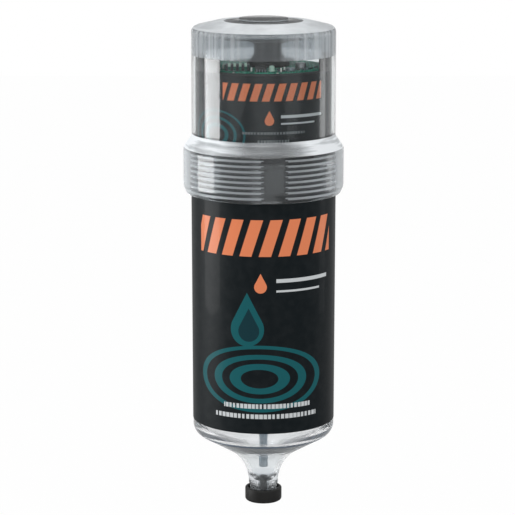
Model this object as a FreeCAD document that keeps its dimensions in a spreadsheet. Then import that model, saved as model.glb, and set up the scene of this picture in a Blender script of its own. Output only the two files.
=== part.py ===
import FreeCAD, Part
import math
import os
import re
import Sketcher
from FreeCAD import Placement, Rotation, Vector

# Automatic lubricator, hanging with its outlet down.
# Millimetres and degrees. The origin is the centre of the outlet's end face, +Z runs up the axis,
# and the front of the object faces -Y.

SIZES = [
    # outlet and funnel of the canister
    ("thread_radius", 6.58, "outlet thread, quarter-inch pipe thread at its major diameter"),
    ("thread_length", 6.5, "length of the outlet thread"),
    ("neck_radius", 7.2, "plain neck above the thread"),
    ("outlet_bore_radius", 2.6, "bore at the tip"),
    ("outlet_bore_depth", 9.0, "straight part of the bore"),
    ("throat_height", 12.0, "where the funnel runs into the throat"),
    ("flare_height", 7.4, "centre height of the trumpet curve"),
    ("flare_radius", 20.0, "radius of the trumpet curve"),
    ("funnel_slope", 30.0, "slope of the funnel's cone"),
    ("funnel_edge", 2.75, "edge between funnel and shoulder, in from the wall"),
    ("shoulder_height", 5.0, "height of the rounded shoulder"),
    ("funnel_wall", 2.4, "wall of the funnel"),
    # canister wall and rim
    ("canister_top_radius", 34.6, "outside, under the cover's thread"),
    ("canister_taper", 0.25, "draft of the wall down to the shoulder"),
    ("canister_wall", 2.4, "moulded wall"),
    ("band_drop", 21.8, "foot of the cover thread band, below the rim"),
    ("band_length", 17.4, "length of the cover thread band"),
    ("band_depth", 1.3, "crests of the cover thread band over the wall"),
    ("rim_height", 175.3, "top of the canister rim"),
    # drive housing lugs in the rim
    ("lug_count", 3, "lugs that stop the drive from turning"),
    ("lug_angle", 41.0, "arc of one lug"),
    ("lug_turn", -73.5, "direction of the first lug"),
    ("lug_height", 3.9, "height of a lug"),
    ("lug_reach", 0.9, "lugs beyond the canister wall"),
    ("lug_play", 0.4, "angle left free on each side of a lug"),
    # labels
    ("label_film", 0.15, "thickness of a label"),
    ("label_glue", 0.02, "adhesive under a label"),
    ("label_foot", 2.97, "bare strip between shoulder and canister label"),
    ("label_head", 2.0, "bare strip between canister label and thread band"),
    ("drive_label_foot", 3.7, "lower edge of the drive label, above the rim"),
    ("drive_label_margin", 0.8, "bare strip above the drive label"),
    # outlet cap
    ("cap_radius", 9.0, "outside of the cap"),
    ("cap_skirt", 4.7, "height of the skirt up the outlet"),
    ("cap_floor", 1.9, "thickness of the floor"),
    ("cap_play", 0.9, "radial room round the thread, so that only the plug pin grips"),
    ("cap_gap", 0.1, "play between floor and outlet tip"),
    ("cap_round", 1.3, "rounded lower edge"),
    ("cap_boss_radius", 3.5, "small boss below the floor"),
    ("cap_boss_height", 1.4, "height of the small boss"),
    ("plug_stem_radius", 1.9, "stem of the plug pin"),
    ("plug_head_radius", 2.3, "mushroom head of the plug pin"),
    ("plug_head_bottom", 8.2, "underside of the mushroom head"),
    ("plug_head_height", 2.1, "height of the mushroom head"),
    # drive cover
    ("dome_play", 0.75, "room between drive housing and dome"),
    ("cover_wall", 1.25, "wall of the dome"),
    ("dome_room", 23.2, "height from the drive housing to the top of the raised disc"),
    ("cover_disc_radius", 12.0, "raised disc"),
    ("cover_disc_step", 1.4, "height of the raised disc"),
    ("cover_slope", 11.7, "width of the sloping top with its corner"),
    ("cover_corner_run", 0.8, "width of the rounded corner"),
    ("cover_slope_drop", 2.6, "fall of the sloping top"),
    ("cover_corner_round", 1.6, "height of the rounded corner"),
    ("cover_top_wall", 2.4, "thickness of the top"),
    ("collar_wall", 2.4, "wall of the threaded collar"),
    ("collar_drop", 3.5, "lower end of the collar, below the thread band"),
    ("collar_chamfer_height", 3.4, "long chamfer at the lower end"),
    ("collar_chamfer_depth", 1.5, "depth of that chamfer"),
    ("collar_step", 0.9, "foot of the flare to the dome, below the rim"),
    ("collar_flare", 5.6, "height of the flare"),
    ("collar_play", 0.2, "radial play on the thread band"),
    ("cushion_inset", 4.4, "round pad under the top, in from the slope"),
    ("cushion_height", 2.0, "thickness of the pad"),
    ("seal_section", 0.85, "section radius of the cover seal"),
    ("seal_room", 0.3, "room between the seal and the upper drive housing, which it passes"),
    ("seal_play", 0.15, "play of the seal over the rim"),
    # drive housing
    ("housing_play", 0.6, "room between drive housing and canister"),
    ("housing_step", 0.9, "how much wider the drive housing is above the canister"),
    ("housing_step_height", 2.9, "height of that step above the rim"),
    ("housing_wall", 2.2, "wall of the drive housing"),
    ("housing_depth", 47.3, "underside of the drive housing, below the rim"),
    ("housing_floor", 2.5, "thickness of its floor"),
    ("housing_rise", 37.7, "front edge of the drive housing, above the rim"),
    ("side_wall_rise", 6.0, "raised edge on the left and right"),
    ("left_wall_angle", 34.5, "half the arc of the left raised edge"),
    ("left_wall_turn", -165.5, "direction of the left raised edge"),
    ("right_wall_angle", 26.5, "half the arc of the right raised edge"),
    ("right_wall_turn", -6.5, "direction of the right raised edge"),
    ("hub_radius", 9.0, "hub in the floor"),
    ("hub_drop", 3.0, "hub below the floor"),
    ("hub_rise", 1.0, "hub above the floor"),
    # output shaft and bearing
    ("shaft_radius", 5.0, "output shaft"),
    ("shaft_play", 0.05, "radial running clearance of a shaft"),
    ("bush_radius", 6.6, "outside of the output bush"),
    ("thrust_washer", 0.6, "thrust washer under the shaft flange"),
    ("washer_play", 0.1, "end play of a turning piece"),
    ("shaft_flange_radius", 7.4, "flange of the output shaft"),
    ("shaft_flange", 1.4, "height of that flange"),
    ("shaft_stub", 1.0, "output shaft above its wheel"),
    ("hex_radius", 3.1, "corner radius of the spindle's hexagon"),
    ("hex_play", 0.1, "play of the hexagon in its socket"),
    ("hex_height", 9.0, "length of the hexagon"),
    ("wiper_height", 1.6, "height of the shaft's lip seal"),
    # lead screw and piston
    ("screw_radius", 3.0, "lead screw, over its thread"),
    ("screw_bottom", 36.5, "lower end of the thread"),
    ("tail_radius", 2.15, "plain tail of the lead screw"),
    ("tail_end", 15.0, "lower end of the tail"),
    ("tail_chamfer", 0.6, "chamfer at the tail's end"),
    ("screw_shoulder_radius", 4.6, "shoulder under the output shaft"),
    ("screw_shoulder", 1.5, "height of that shoulder"),
    ("piston_room", 22.0, "lower edge of the piston's skirt, below the drive housing"),
    ("piston_play", 0.55, "room between piston and wall"),
    ("piston_skirt", 16.0, "height of the skirt"),
    ("piston_wall", 2.4, "wall of the piston"),
    ("piston_web_drop", 7.0, "how far the web falls to the hub"),
    ("piston_hub_radius", 9.0, "hub of the piston"),
    ("piston_hub_height", 19.0, "height of the hub"),
    ("ring_reach", 0.35, "piston ring beyond the skirt"),
    ("ring_depth", 1.5, "radial size of a piston ring"),
    ("ring_height", 1.6, "height of a piston ring"),
    ("groove_play", 0.05, "play of a ring in its groove"),
    ("ring_low", 2.6, "lower groove above the skirt's edge"),
    ("ring_high", 11.6, "upper groove above the skirt's edge"),
    ("nut_radius", 5.6, "barrel of the piston nut"),
    ("nut_flange_radius", 8.0, "flange of the piston nut"),
    ("nut_flange", 1.6, "height of that flange"),
    ("nut_play", 0.15, "radial play on the lead screw"),
    # reduction gears
    ("gear_room", 1.9, "room between the idler wheels and the housing"),
    ("wheel_teeth", 48, "teeth of each wheel"),
    ("pinion_teeth", 12, "teeth of each pinion"),
    ("pressure_angle", 25.0, "flank angle"),
    ("backlash", 0.1, "play between flanks on the pitch circle"),
    ("tooth_root", 1.25, "depth below the pitch circle, in modules"),
    ("wheel_face", 3.0, "width of a wheel"),
    ("stage_pitch", 4.5, "height from one stage to the next"),
    ("output_wheel_rise", 4.5, "underside of the output wheel, above the housing's floor"),
    ("pinion_overhang", 0.4, "pinion beyond the wheel that it drives"),
    ("motor_pinion_face", 4.6, "width of the motor pinion"),
    ("gear_turn", 200.0, "direction of the first idler axle"),
    ("axle_radius", 1.0, "idler axles"),
    ("axle_shoulder_radius", 1.8, "shoulder under an idler"),
    ("axle_play", 0.05, "running clearance on an axle"),
    ("clip_radius", 2.2, "retaining ring on an axle"),
    ("clip_height", 0.6, "height of a retaining ring"),
    ("wheel_hub_radius", 8.0, "hub of the output wheel"),
    # gearbox plates and motor
    ("plate_play", 0.5, "room round the gearbox plates"),
    ("lower_plate", 2.0, "thickness of the lower plate"),
    ("lower_plate_bore", 9.6, "opening round the hub"),
    ("gearbox_height", 19.5, "underside of the upper plate, above the housing's floor"),
    ("upper_plate", 2.0, "thickness of the upper plate"),
    ("pillar_radius", 2.0, "pillars between the plates"),
    ("pillar_inset", 0.3, "pillars inside the edge of the plates"),
    ("pillar_spigot", 1.0, "radius of a pillar's screw end"),
    ("motor_radius", 12.0, "motor can"),
    ("motor_length", 30.0, "length of the motor can"),
    ("motor_boss_radius", 3.5, "bearing boss of the motor"),
    ("motor_boss_height", 1.5, "height of that boss"),
    ("motor_round", 1.2, "rolled edge of the can"),
    ("motor_wall", 0.8, "sheet of the can"),
    ("motor_screw_circle", 8.0, "circle of the motor screws"),
    ("rotor_radius", 8.6, "wound rotor"),
    ("rotor_length", 20.0, "length of the rotor"),
    ("rotor_shaft_radius", 1.0, "motor shaft"),
    ("magnet_radius", 11.1, "outside of the magnet ring"),
    ("magnet_bore", 9.2, "bore of the magnet ring"),
    ("end_bell_height", 3.0, "plastic end bell of the motor"),
    # battery pack
    ("cell_inset", 0.9, "room between a cell and the housing"),
    ("cell_motor_room", 2.3, "room between a cell and the motor"),
    ("cell_button_radius", 2.6, "button of a cell"),
    ("cell_button", 1.4, "height of the button"),
    ("cell_turn", 30.0, "direction of the first cell"),
    ("cell_count", 3, "battery cells"),
    ("spring_height", 4.6, "contact springs under the cells"),
    ("spring_radius", 4.0, "outer radius of a contact spring"),
    ("spring_wire", 0.5, "wire radius of a contact spring"),
    ("contact_sheet", 0.5, "upper contact strip"),
    ("retainer", 2.0, "plate that holds the cells down"),
    ("retainer_play", 0.4, "room round that plate"),
    ("retainer_room", 2.3, "bosses between that plate and the board"),
    ("retainer_bore", 11.0, "opening in that plate"),
    # circuit board
    ("board_play", 0.3, "room round the circuit board"),
    ("board", 1.6, "thickness of the board"),
    ("board_proud", 0.4, "board above the housing's edge"),
    ("board_boss_radius", 2.8, "bosses under the board"),
    ("board_hole", 1.35, "holes for the board screws"),
    ("board_screw_inset", 5.0, "board screws, in from the board's edge"),
    ("board_screw_turn", -60.0, "direction of the first board screw"),
    ("screw_head_radius", 2.3, "head of a board screw"),
    ("screw_head", 1.4, "height of that head"),
    ("switch_width", 11.8, "length of the switch block"),
    ("switch_depth", 6.4, "depth of the switch block"),
    ("switch_height", 2.7, "height of the switch block"),
    ("slider_count", 4, "sliders in the block"),
    ("slider_pitch", 2.54, "distance between sliders"),
    ("slot_width", 1.5, "slot of a slider"),
    ("slot_length", 3.6, "length of that slot"),
    ("slot_depth", 1.4, "depth of that slot"),
    ("slider_play", 0.12, "play of a slider in its slot"),
    ("slider_length", 1.6, "length of a slider"),
    ("slider_rise", 0.7, "slider above the block"),
    ("slider_travel", 1.7, "travel of a slider"),
    ("chip_room", 2.4, "room between the switch block and the black timer chip"),
    ("chip_width", 5.2, "width of the chip"),
    ("chip_depth", 4.2, "depth of the chip"),
    ("chip_height", 2.3, "height of the chip"),
    ("lamp_room", 0.69, "room between the chip and the signal lamp"),
    ("led_radius", 1.55, "signal lamp"),
    ("led_height", 2.8, "height of the lamp"),
    ("led_foot", 0.8, "flange of the lamp"),
    ("capacitor_radius", 2.5, "electrolytic capacitor"),
    ("capacitor_height", 2.9, "height of the capacitor"),
    ("connector_width", 7.4, "width of the connector"),
    ("connector_depth", 5.4, "depth of the connector"),
    ("connector_height", 4.6, "height of the connector"),
    ("connector_wall", 0.9, "wall of the connector"),
    ("post_x", 2.2, "rubber post, to the right"),
    ("post_waist_radius", 6.6, "waist of the rubber post"),
    ("post_head_radius", 9.8, "head of the rubber post"),
    ("post_foot_radius", 10.2, "foot of the rubber post"),
    ("post_head", 1.6, "height of the head"),
    ("post_foot", 1.8, "height of the foot"),
    ("post_flare", 3.0, "height of each flare to the waist"),
    ("post_play", 0.2, "play between post and pad"),
]

# Sizes that follow from others, so that a piece keeps its play when its neighbour changes.
WORKED_OUT = {
    "canister_base_radius": "canister_top_radius - canister_taper",
    "funnel_ring_radius": "canister_base_radius - funnel_edge",
    "band_bottom": "rim_height - band_drop",
    "band_radius": "canister_top_radius + band_depth",
    "lug_radius": "canister_top_radius + lug_reach",
    "canister_label_top": "band_bottom - label_head",
    "drive_label_bottom": "rim_height + drive_label_foot",
    "housing_radius": "canister_top_radius - canister_wall - housing_play",
    "housing_bore": "housing_radius - housing_wall",
    "housing_upper_radius": "housing_radius + housing_step",
    "housing_upper_bore": "housing_upper_radius - housing_wall",
    "housing_bottom": "rim_height - housing_depth",
    "housing_top": "rim_height + housing_rise",
    "cover_radius": "housing_upper_radius + dome_play + cover_wall",
    "cover_height": "housing_top + dome_room",
    "cover_plateau_radius": "cover_radius - cover_slope",
    "cover_corner_radius": "cover_radius - cover_corner_run",
    "cushion_radius": "cover_plateau_radius - cushion_inset",
    "collar_radius": "band_radius + collar_play + collar_wall",
    "collar_bottom": "band_bottom - collar_drop",
    "collar_shoulder": "rim_height - collar_step",
    "piston_rest": "housing_bottom - piston_room",
    "piston_radius": "canister_base_radius - canister_wall - piston_play",
    "ring_radius": "piston_radius + ring_reach",
    "output_wheel_base": "housing_bottom + housing_floor + output_wheel_rise",
    "shaft_top": "output_wheel_base + wheel_face + shaft_stub",
    "upper_plate_base": "housing_bottom + housing_floor + gearbox_height",
    "gear_module": "(housing_bore - gear_room) / (wheel_teeth + pinion_teeth / 2 + 1)",
    "plate_radius": "housing_bore - plate_play",
    "pillar_circle": "plate_radius - pillar_radius - pillar_inset",
    "cell_radius": "(housing_bore - cell_inset - motor_radius - cell_motor_room) / 2",
    "cell_circle": "motor_radius + cell_motor_room + cell_radius",
    "cell_length": "housing_top + board_proud - board - retainer_room - retainer - contact_sheet"
                   " - cell_button - spring_height - upper_plate_base - upper_plate",
    "retainer_radius": "housing_upper_bore - retainer_play",
    "board_radius": "housing_upper_bore - board_play",
    "board_screw_circle": "board_radius - board_screw_inset",
    "switch_x": "0 - 0.406 * board_radius",
    "switch_y": "0 - 0.614 * board_radius",
    "chip_x": "switch_x + switch_width / 2 + chip_room + chip_width / 2",
    "chip_y": "0 - 0.792 * board_radius",
    "led_x": "chip_x + chip_width / 2 + lamp_room + 0.2 * led_foot + led_radius",
    "led_y": "0 - 0.779 * board_radius",
    "capacitor_x": "0.578 * board_radius",
    "capacitor_y": "0 - 0.479 * board_radius",
    "connector_x": "post_x",
    "connector_y": "0.594 * board_radius",
}

FORMULA_WORDS = ("sin", "cos", "tan", "acos", "sqrt", "max", "pi", "deg")

doc = FreeCAD.newDocument("automatic_lubricator")
nodes = []


# The sheet of driving sizes

def fill_sheet():
    sheet = doc.addObject("Spreadsheet::Sheet", "sizes")
    for row, (alias, value, note) in enumerate(SIZES, start=1):
        sheet.set("A%d" % row, alias)
        sheet.set("B%d" % row, str(value))
        sheet.set("C%d" % row, note)
        sheet.setAlias("B%d" % row, alias)
    doc.recompute()
    return sheet


sizes = fill_sheet()


def bind(formula):
    """A formula of size names, as an expression on the sheet."""
    def cell(match):
        word = match.group(0)
        if word in WORKED_OUT:
            return "(" + bind(WORKED_OUT[word]) + ")"
        return word if word in FORMULA_WORDS else "sizes." + word
    return re.sub(r"[a-z_]+", cell, formula)


def value(formula):
    """The number that a formula gives now."""
    found = sizes.evalExpression(bind(formula))
    return float(getattr(found, "Value", found))


# Sketches, turned bodies and pads

def origin_plane(body, role):
    return [plane for plane in body.Origin.OriginFeatures if plane.Role == role][0]


def arc_geometry(start, end, radius, side):
    """The short arc from start to end, with its centre on the left (1) or right (-1)."""
    chord = end - start
    middle = (start + end) * 0.5
    rise = math.sqrt(max(radius * radius - chord.Length * chord.Length / 4.0, 0.0))
    centre = middle + Vector(-chord.y, chord.x, 0) * (side * rise / chord.Length)
    first, last = (start, end) if side > 0 else (end, start)
    begin = math.atan2(first.y - centre.y, first.x - centre.x)
    finish = math.atan2(last.y - centre.y, last.x - centre.x)
    if finish < begin:
        finish += 2 * math.pi
    return Part.ArcOfCircle(Part.Circle(centre, Vector(0, 0, 1), radius), begin, finish)


def tie(sketch, constraint, formula):
    number = sketch.addConstraint(constraint)
    sketch.setExpression("Constraints[%d]" % number, bind(formula))


def closed_sketch(body, name, role, corners):
    """A closed outline. A corner is (x, y), or (x, y, radius, side) where an arc ends."""
    sketch = body.newObject("Sketcher::SketchObject", name)
    sketch.AttachmentSupport = [(origin_plane(body, role), "")]
    sketch.MapMode = "FlatFace"
    places = [Vector(value(corner[0]), value(corner[1]), 0) for corner in corners]
    heads = []
    for index, corner in enumerate(corners):
        start, end = places[index - 1], places[index]
        if len(corner) == 2:
            sketch.addGeometry(Part.LineSegment(start, end))
            heads.append((1, 2))
        else:
            radius, side = value(corner[2]), corner[3]
            sketch.addGeometry(arc_geometry(start, end, radius, side))
            heads.append((1, 2) if side > 0 else (2, 1))
    for index in range(len(corners)):
        following = (index + 1) % len(corners)
        sketch.addConstraint(Sketcher.Constraint(
            "Coincident", index, heads[index][1], following, heads[following][0]))
    for index, corner in enumerate(corners):
        end = heads[index][1]
        for axis, formula, place in (("X", corner[0], places[index].x), ("Y", corner[1], places[index].y)):
            if formula == "0":
                line = -2 if axis == "X" else -1
                sketch.addConstraint(Sketcher.Constraint("PointOnObject", index, end, line))
            else:
                tie(sketch, Sketcher.Constraint("Distance" + axis, -1, 1, index, end, place), formula)
        if len(corner) == 4:
            tie(sketch, Sketcher.Constraint("Radius", index, value(corner[2])), corner[2])
    return sketch


def circle_sketch(body, name, role, radius, x="0", y="0"):
    sketch = body.newObject("Sketcher::SketchObject", name)
    sketch.AttachmentSupport = [(origin_plane(body, role), "")]
    sketch.MapMode = "FlatFace"
    centre = Vector(value(x), value(y), 0)
    sketch.addGeometry(Part.Circle(centre, Vector(0, 0, 1), value(radius)))
    tie(sketch, Sketcher.Constraint("Radius", 0, value(radius)), radius)
    for axis, formula, place in (("X", x, centre.x), ("Y", y, centre.y)):
        if formula == "0":
            line = -2 if axis == "X" else -1
            sketch.addConstraint(Sketcher.Constraint("PointOnObject", 0, 3, line))
        else:
            tie(sketch, Sketcher.Constraint("Distance" + axis, -1, 1, 0, 3, place), formula)
    return sketch


def rectangle(x, y, width, depth):
    return [("%s - %s / 2" % (x, width), "%s - %s / 2" % (y, depth)),
            ("%s + %s / 2" % (x, width), "%s - %s / 2" % (y, depth)),
            ("%s + %s / 2" % (x, width), "%s + %s / 2" % (y, depth)),
            ("%s - %s / 2" % (x, width), "%s + %s / 2" % (y, depth))]


def new_body(name):
    body = doc.addObject("PartDesign::Body", name)
    nodes.append(body)
    return body


def raise_sketch(sketch, height):
    sketch.setExpression("AttachmentOffset.Base.z", bind(height))


def revolve(body, name, corners):
    sketch = closed_sketch(body, name + "_section", "XZ_Plane", corners)
    turn = body.newObject("PartDesign::Revolution", name)
    turn.Profile = sketch
    turn.ReferenceAxis = (sketch, ["V_Axis"])
    turn.Angle = 360
    return turn


def pad(body, name, sketch, base, length):
    """Material from the height base upward."""
    raise_sketch(sketch, base)
    feature = body.newObject("PartDesign::Pad", name)
    feature.Profile = sketch
    feature.setExpression("Length", bind(length))
    return feature


def pocket(body, name, sketch, base, length):
    """A cut from the height base upward."""
    raise_sketch(sketch, base)
    feature = body.newObject("PartDesign::Pocket", name)
    feature.Profile = sketch
    feature.Reversed = True
    feature.setExpression("Length", bind(length))
    return feature


def around(body, feature, count):
    """The feature repeated evenly about the vertical axis."""
    pattern = body.newObject("PartDesign::PolarPattern", feature.Name + "_ring")
    pattern.Originals = [feature]
    pattern.Axis = (feature.Profile[0], ["N_Axis"])
    pattern.Angle = 360
    pattern.setExpression("Occurrences", bind(count))
    body.Tip = pattern
    return pattern


def place(item, x="0", y="0", z="0", turn=None):
    for axis, formula in (("x", x), ("y", y), ("z", z)):
        if formula != "0":
            item.setExpression("Placement.Base." + axis, bind(formula))
    if turn is not None:
        item.Placement = Placement(item.Placement.Base, Rotation(Vector(0, 0, 1), value(turn)))
        item.setExpression("Placement.Rotation.Angle", bind(turn))


def turned(name, corners):
    body = new_body(name)
    revolve(body, name + "_turn", corners)
    return body


def cylinder(name, radius, height, x="0", y="0", z="0"):
    item = doc.addObject("Part::Cylinder", name)
    item.setExpression("Radius", bind(radius))
    item.setExpression("Height", bind(height))
    place(item, x, y, z)
    return item


def group(name, items):
    """Separate like solids kept as one node."""
    fused = doc.addObject("Part::Compound", name)
    fused.Links = items
    nodes.append(fused)
    return fused


def on_circle(circle, angle):
    """X and Y formulas of a place on a circle about the axis."""
    return "%s * cos(%s)" % (circle, angle), "%s * sin(%s)" % (circle, angle)


# Canister: one clear moulding with funnel, threaded outlet and notched rim

FLARE_CENTRE = "(neck_radius + flare_radius)"
CONE_FOOT_R = "(" + FLARE_CENTRE + " - flare_radius * sin(funnel_slope))"
CONE_FOOT_Z = "(flare_height + flare_radius * cos(funnel_slope))"
RING_Z = "(" + CONE_FOOT_Z + " + (funnel_ring_radius - " + CONE_FOOT_R + ") * tan(funnel_slope))"
SHOULDER_Z = "(" + RING_Z + " + shoulder_height)"
BAND_TOP = "(band_bottom + band_length)"
LUG_BASE = "(rim_height - lug_height)"
INNER_FLARE = "(flare_radius + funnel_wall)"
INNER_FOOT_R = "(" + FLARE_CENTRE + " - " + INNER_FLARE + " * sin(funnel_slope))"
INNER_FOOT_Z = "(flare_height + " + INNER_FLARE + " * cos(funnel_slope))"
INNER_RING_R = "(funnel_ring_radius - 0.8 * funnel_wall)"
INNER_RING_Z = ("(" + INNER_FOOT_Z + " + (" + INNER_RING_R + " - " + INNER_FOOT_R
                + ") * tan(funnel_slope))")
INNER_WALL_R = "(canister_base_radius - canister_wall)"
INNER_SHOULDER_Z = "(" + INNER_RING_Z + " + 0.8 * shoulder_height)"
THROAT_R = ("(" + FLARE_CENTRE + " - sqrt(" + INNER_FLARE + " * " + INNER_FLARE
            + " - (throat_height - flare_height) * (throat_height - flare_height)))")


def corner_round(run, rise):
    """Radius of an arc that spans run and rise and ends upright."""
    return "((%s) * (%s) + (%s) * (%s)) / (2 * (%s))" % (run, run, rise, rise, run)


def wall_radius(height):
    """Outside of the tapered canister wall at a height."""
    share = "(%s - %s) / (band_bottom - %s)" % (height, SHOULDER_Z, SHOULDER_Z)
    return "(canister_base_radius + (canister_top_radius - canister_base_radius) * %s)" % share


def ring_sector(inner, outer, half, middle="0"):
    """An arc-sided patch of a ring, for lugs."""
    low, high = "%s - %s" % (middle, half), "%s + %s" % (middle, half)
    return [(inner + " * cos(" + low + ")", inner + " * sin(" + low + ")"),
            (outer + " * cos(" + low + ")", outer + " * sin(" + low + ")"),
            (outer + " * cos(" + high + ")", outer + " * sin(" + high + ")", outer, 1),
            (inner + " * cos(" + high + ")", inner + " * sin(" + high + ")")]


def ring_wall(inner, outer, half, middle):
    """An arc-sided piece of a ring, round on both sides."""
    corners = ring_sector(inner, outer, half, middle)
    corners[0] += (inner, -1)
    return corners


def make_canister():
    shoulder = corner_round("canister_base_radius - funnel_ring_radius", "shoulder_height")
    inner_shoulder = corner_round(INNER_WALL_R + " - " + INNER_RING_R,
                                  INNER_SHOULDER_Z + " - " + INNER_RING_Z)
    body = new_body("canister")
    revolve(body, "canister_shell", [
        ("outlet_bore_radius", "0"),
        ("thread_radius", "0"),
        ("thread_radius", "thread_length"),
        ("neck_radius", "thread_length"),
        ("neck_radius", "flare_height"),
        (CONE_FOOT_R, CONE_FOOT_Z, "flare_radius", -1),
        ("funnel_ring_radius", RING_Z),
        ("canister_base_radius", SHOULDER_Z, shoulder, 1),
        ("canister_top_radius", "band_bottom"),
        ("band_radius", "band_bottom + (band_radius - canister_top_radius)"),
        ("band_radius", BAND_TOP),
        ("canister_top_radius", BAND_TOP),
        ("canister_top_radius", "rim_height"),
        ("canister_top_radius - canister_wall", "rim_height"),
        ("canister_top_radius - canister_wall", "band_bottom"),
        (INNER_WALL_R, INNER_SHOULDER_Z),
        (INNER_RING_R, INNER_RING_Z, inner_shoulder, -1),
        (INNER_FOOT_R, INNER_FOOT_Z),
        (THROAT_R, "throat_height", INNER_FLARE, 1),
        ("outlet_bore_radius", "outlet_bore_depth"),
    ])
    notch = closed_sketch(body, "rim_notch_outline", "XY_Plane", ring_sector(
        "(housing_radius - housing_wall)", "(band_radius + canister_wall)",
        "(lug_angle / 2 + lug_play)", "lug_turn"))
    cut = pocket(body, "rim_notch", notch, LUG_BASE, "lug_height + canister_wall")
    around(body, cut, "lug_count")


def make_canister_label():
    bottom = "(" + SHOULDER_Z + " + label_foot)"
    low, high = wall_radius(bottom), wall_radius("canister_label_top")
    turned("canister_label", [
        (low + " + label_glue", bottom),
        (low + " + label_glue + label_film", bottom),
        (high + " + label_glue + label_film", "canister_label_top"),
        (high + " + label_glue", "canister_label_top"),
    ])


# Outlet cap with its central plug pin

def make_outlet_cap():
    floor_top = "(0 - cap_gap)"
    floor_bottom = "(0 - cap_gap - cap_floor)"
    turned("outlet_cap", [
        ("0", floor_bottom + " - cap_boss_height"),
        ("cap_boss_radius", floor_bottom + " - cap_boss_height"),
        ("cap_boss_radius", floor_bottom),
        ("cap_radius - cap_round", floor_bottom),
        ("cap_radius - 0.3 * cap_round", floor_bottom + " + 0.3 * cap_round"),
        ("cap_radius", floor_bottom + " + cap_round"),
        ("cap_radius", "cap_skirt"),
        ("thread_radius + cap_play", "cap_skirt"),
        ("thread_radius + cap_play", floor_top),
        ("plug_stem_radius", floor_top),
        ("plug_stem_radius", "plug_head_bottom"),
        ("plug_head_radius", "plug_head_bottom"),
        ("plug_head_radius", "plug_head_bottom + plug_head_height / 2"),
        ("0.6 * plug_head_radius", "plug_head_bottom + 0.9 * plug_head_height"),
        ("0", "plug_head_bottom + plug_head_height"),
    ])


# Drive cover: clear dome and threaded collar in one moulding

PLATEAU_Z = "(cover_height - cover_disc_step)"
CORNER_Z = "(" + PLATEAU_Z + " - cover_slope_drop)"
DOME_WALL_TOP = "(" + CORNER_Z + " - cover_corner_round)"
DOME_BORE = "(cover_radius - cover_wall)"
COLLAR_BORE = "(band_radius + collar_play)"
FLARE_TOP = "(collar_shoulder + collar_flare)"
BORE_STEP = "(rim_height + seal_play)"
INNER_FLARE_TOP = "(" + BORE_STEP + " + collar_flare)"
INNER_TOP = "(" + PLATEAU_Z + " - cover_top_wall)"


def make_drive_cover():
    turned("drive_cover", [
        (COLLAR_BORE, "collar_bottom"),
        ("collar_radius - collar_chamfer_depth", "collar_bottom"),
        ("collar_radius", "collar_bottom + collar_chamfer_height"),
        ("collar_radius", "collar_shoulder"),
        ("cover_radius", FLARE_TOP),
        ("cover_radius", DOME_WALL_TOP),
        ("cover_radius - 0.26 * cover_corner_run", DOME_WALL_TOP + " + 0.56 * cover_corner_round"),
        ("cover_corner_radius", CORNER_Z),
        ("cover_plateau_radius", PLATEAU_Z),
        ("cover_disc_radius", PLATEAU_Z),
        ("cover_disc_radius", "cover_height"),
        ("0", "cover_height"),
        ("0", INNER_TOP),
        ("cover_plateau_radius - cover_wall / 2", INNER_TOP),
        (DOME_BORE, CORNER_Z + " - cover_top_wall"),
        (DOME_BORE, INNER_FLARE_TOP),
        (COLLAR_BORE, BORE_STEP),
    ])


def make_cover_cushion():
    turned("cover_cushion", [
        ("0", INNER_TOP + " - cushion_height"),
        ("cushion_radius", INNER_TOP + " - cushion_height"),
        ("cushion_radius", INNER_TOP),
        ("0", INNER_TOP),
    ])


def make_cover_seal():
    middle = "(housing_upper_radius + seal_room + seal_section)"
    seat = "(rim_height + seal_play + seal_section)"
    side, flat = "seal_section", "seal_section * tan(22.5)"
    steps = [("+", flat, "-", side), ("+", side, "-", flat), ("+", side, "+", flat), ("+", flat, "+", side),
             ("-", flat, "+", side), ("-", side, "+", flat), ("-", side, "-", flat), ("-", flat, "-", side)]
    turned("cover_seal", [("%s %s %s" % (middle, across, out), "%s %s %s" % (seat, along, up))
                          for across, out, along, up in steps])


# Drive housing with its lugs, hub and label

STEP_Z = "(rim_height + housing_step_height)"
FLOOR_TOP = "(housing_bottom + housing_floor)"
HUB_TOP = "(" + FLOOR_TOP + " + hub_rise)"
HUB_BOTTOM = "(housing_bottom - hub_drop)"
BUSH_BORE = "(shaft_radius + shaft_play)"


def make_drive_housing():
    body = new_body("drive_housing")
    revolve(body, "housing_shell", [
        ("bush_radius", HUB_BOTTOM),
        ("hub_radius", HUB_BOTTOM),
        ("hub_radius", "housing_bottom"),
        ("housing_radius", "housing_bottom"),
        ("housing_radius", STEP_Z),
        ("housing_upper_radius", STEP_Z),
        ("housing_upper_radius", "housing_top"),
        ("housing_upper_bore", "housing_top"),
        ("housing_upper_bore", STEP_Z + " + housing_wall"),
        ("housing_bore", STEP_Z + " + housing_wall"),
        ("housing_bore", FLOOR_TOP),
        ("hub_radius", FLOOR_TOP),
        ("hub_radius", HUB_TOP),
        ("bush_radius", HUB_TOP),
    ])
    outline = closed_sketch(body, "lug_outline", "XY_Plane", ring_sector(
        "(housing_radius - housing_wall / 2)", "lug_radius", "(lug_angle / 2)", "lug_turn"))
    lug = pad(body, "lug", outline, LUG_BASE, "lug_height")
    around(body, lug, "lug_count")
    for side in ("left_wall", "right_wall"):
        edge = closed_sketch(body, side + "_outline", "XY_Plane", ring_wall(
            "housing_upper_bore", "housing_upper_radius", side + "_angle", side + "_turn"))
        pad(body, side, edge, "housing_top - drive_label_margin", "side_wall_rise + drive_label_margin")


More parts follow.
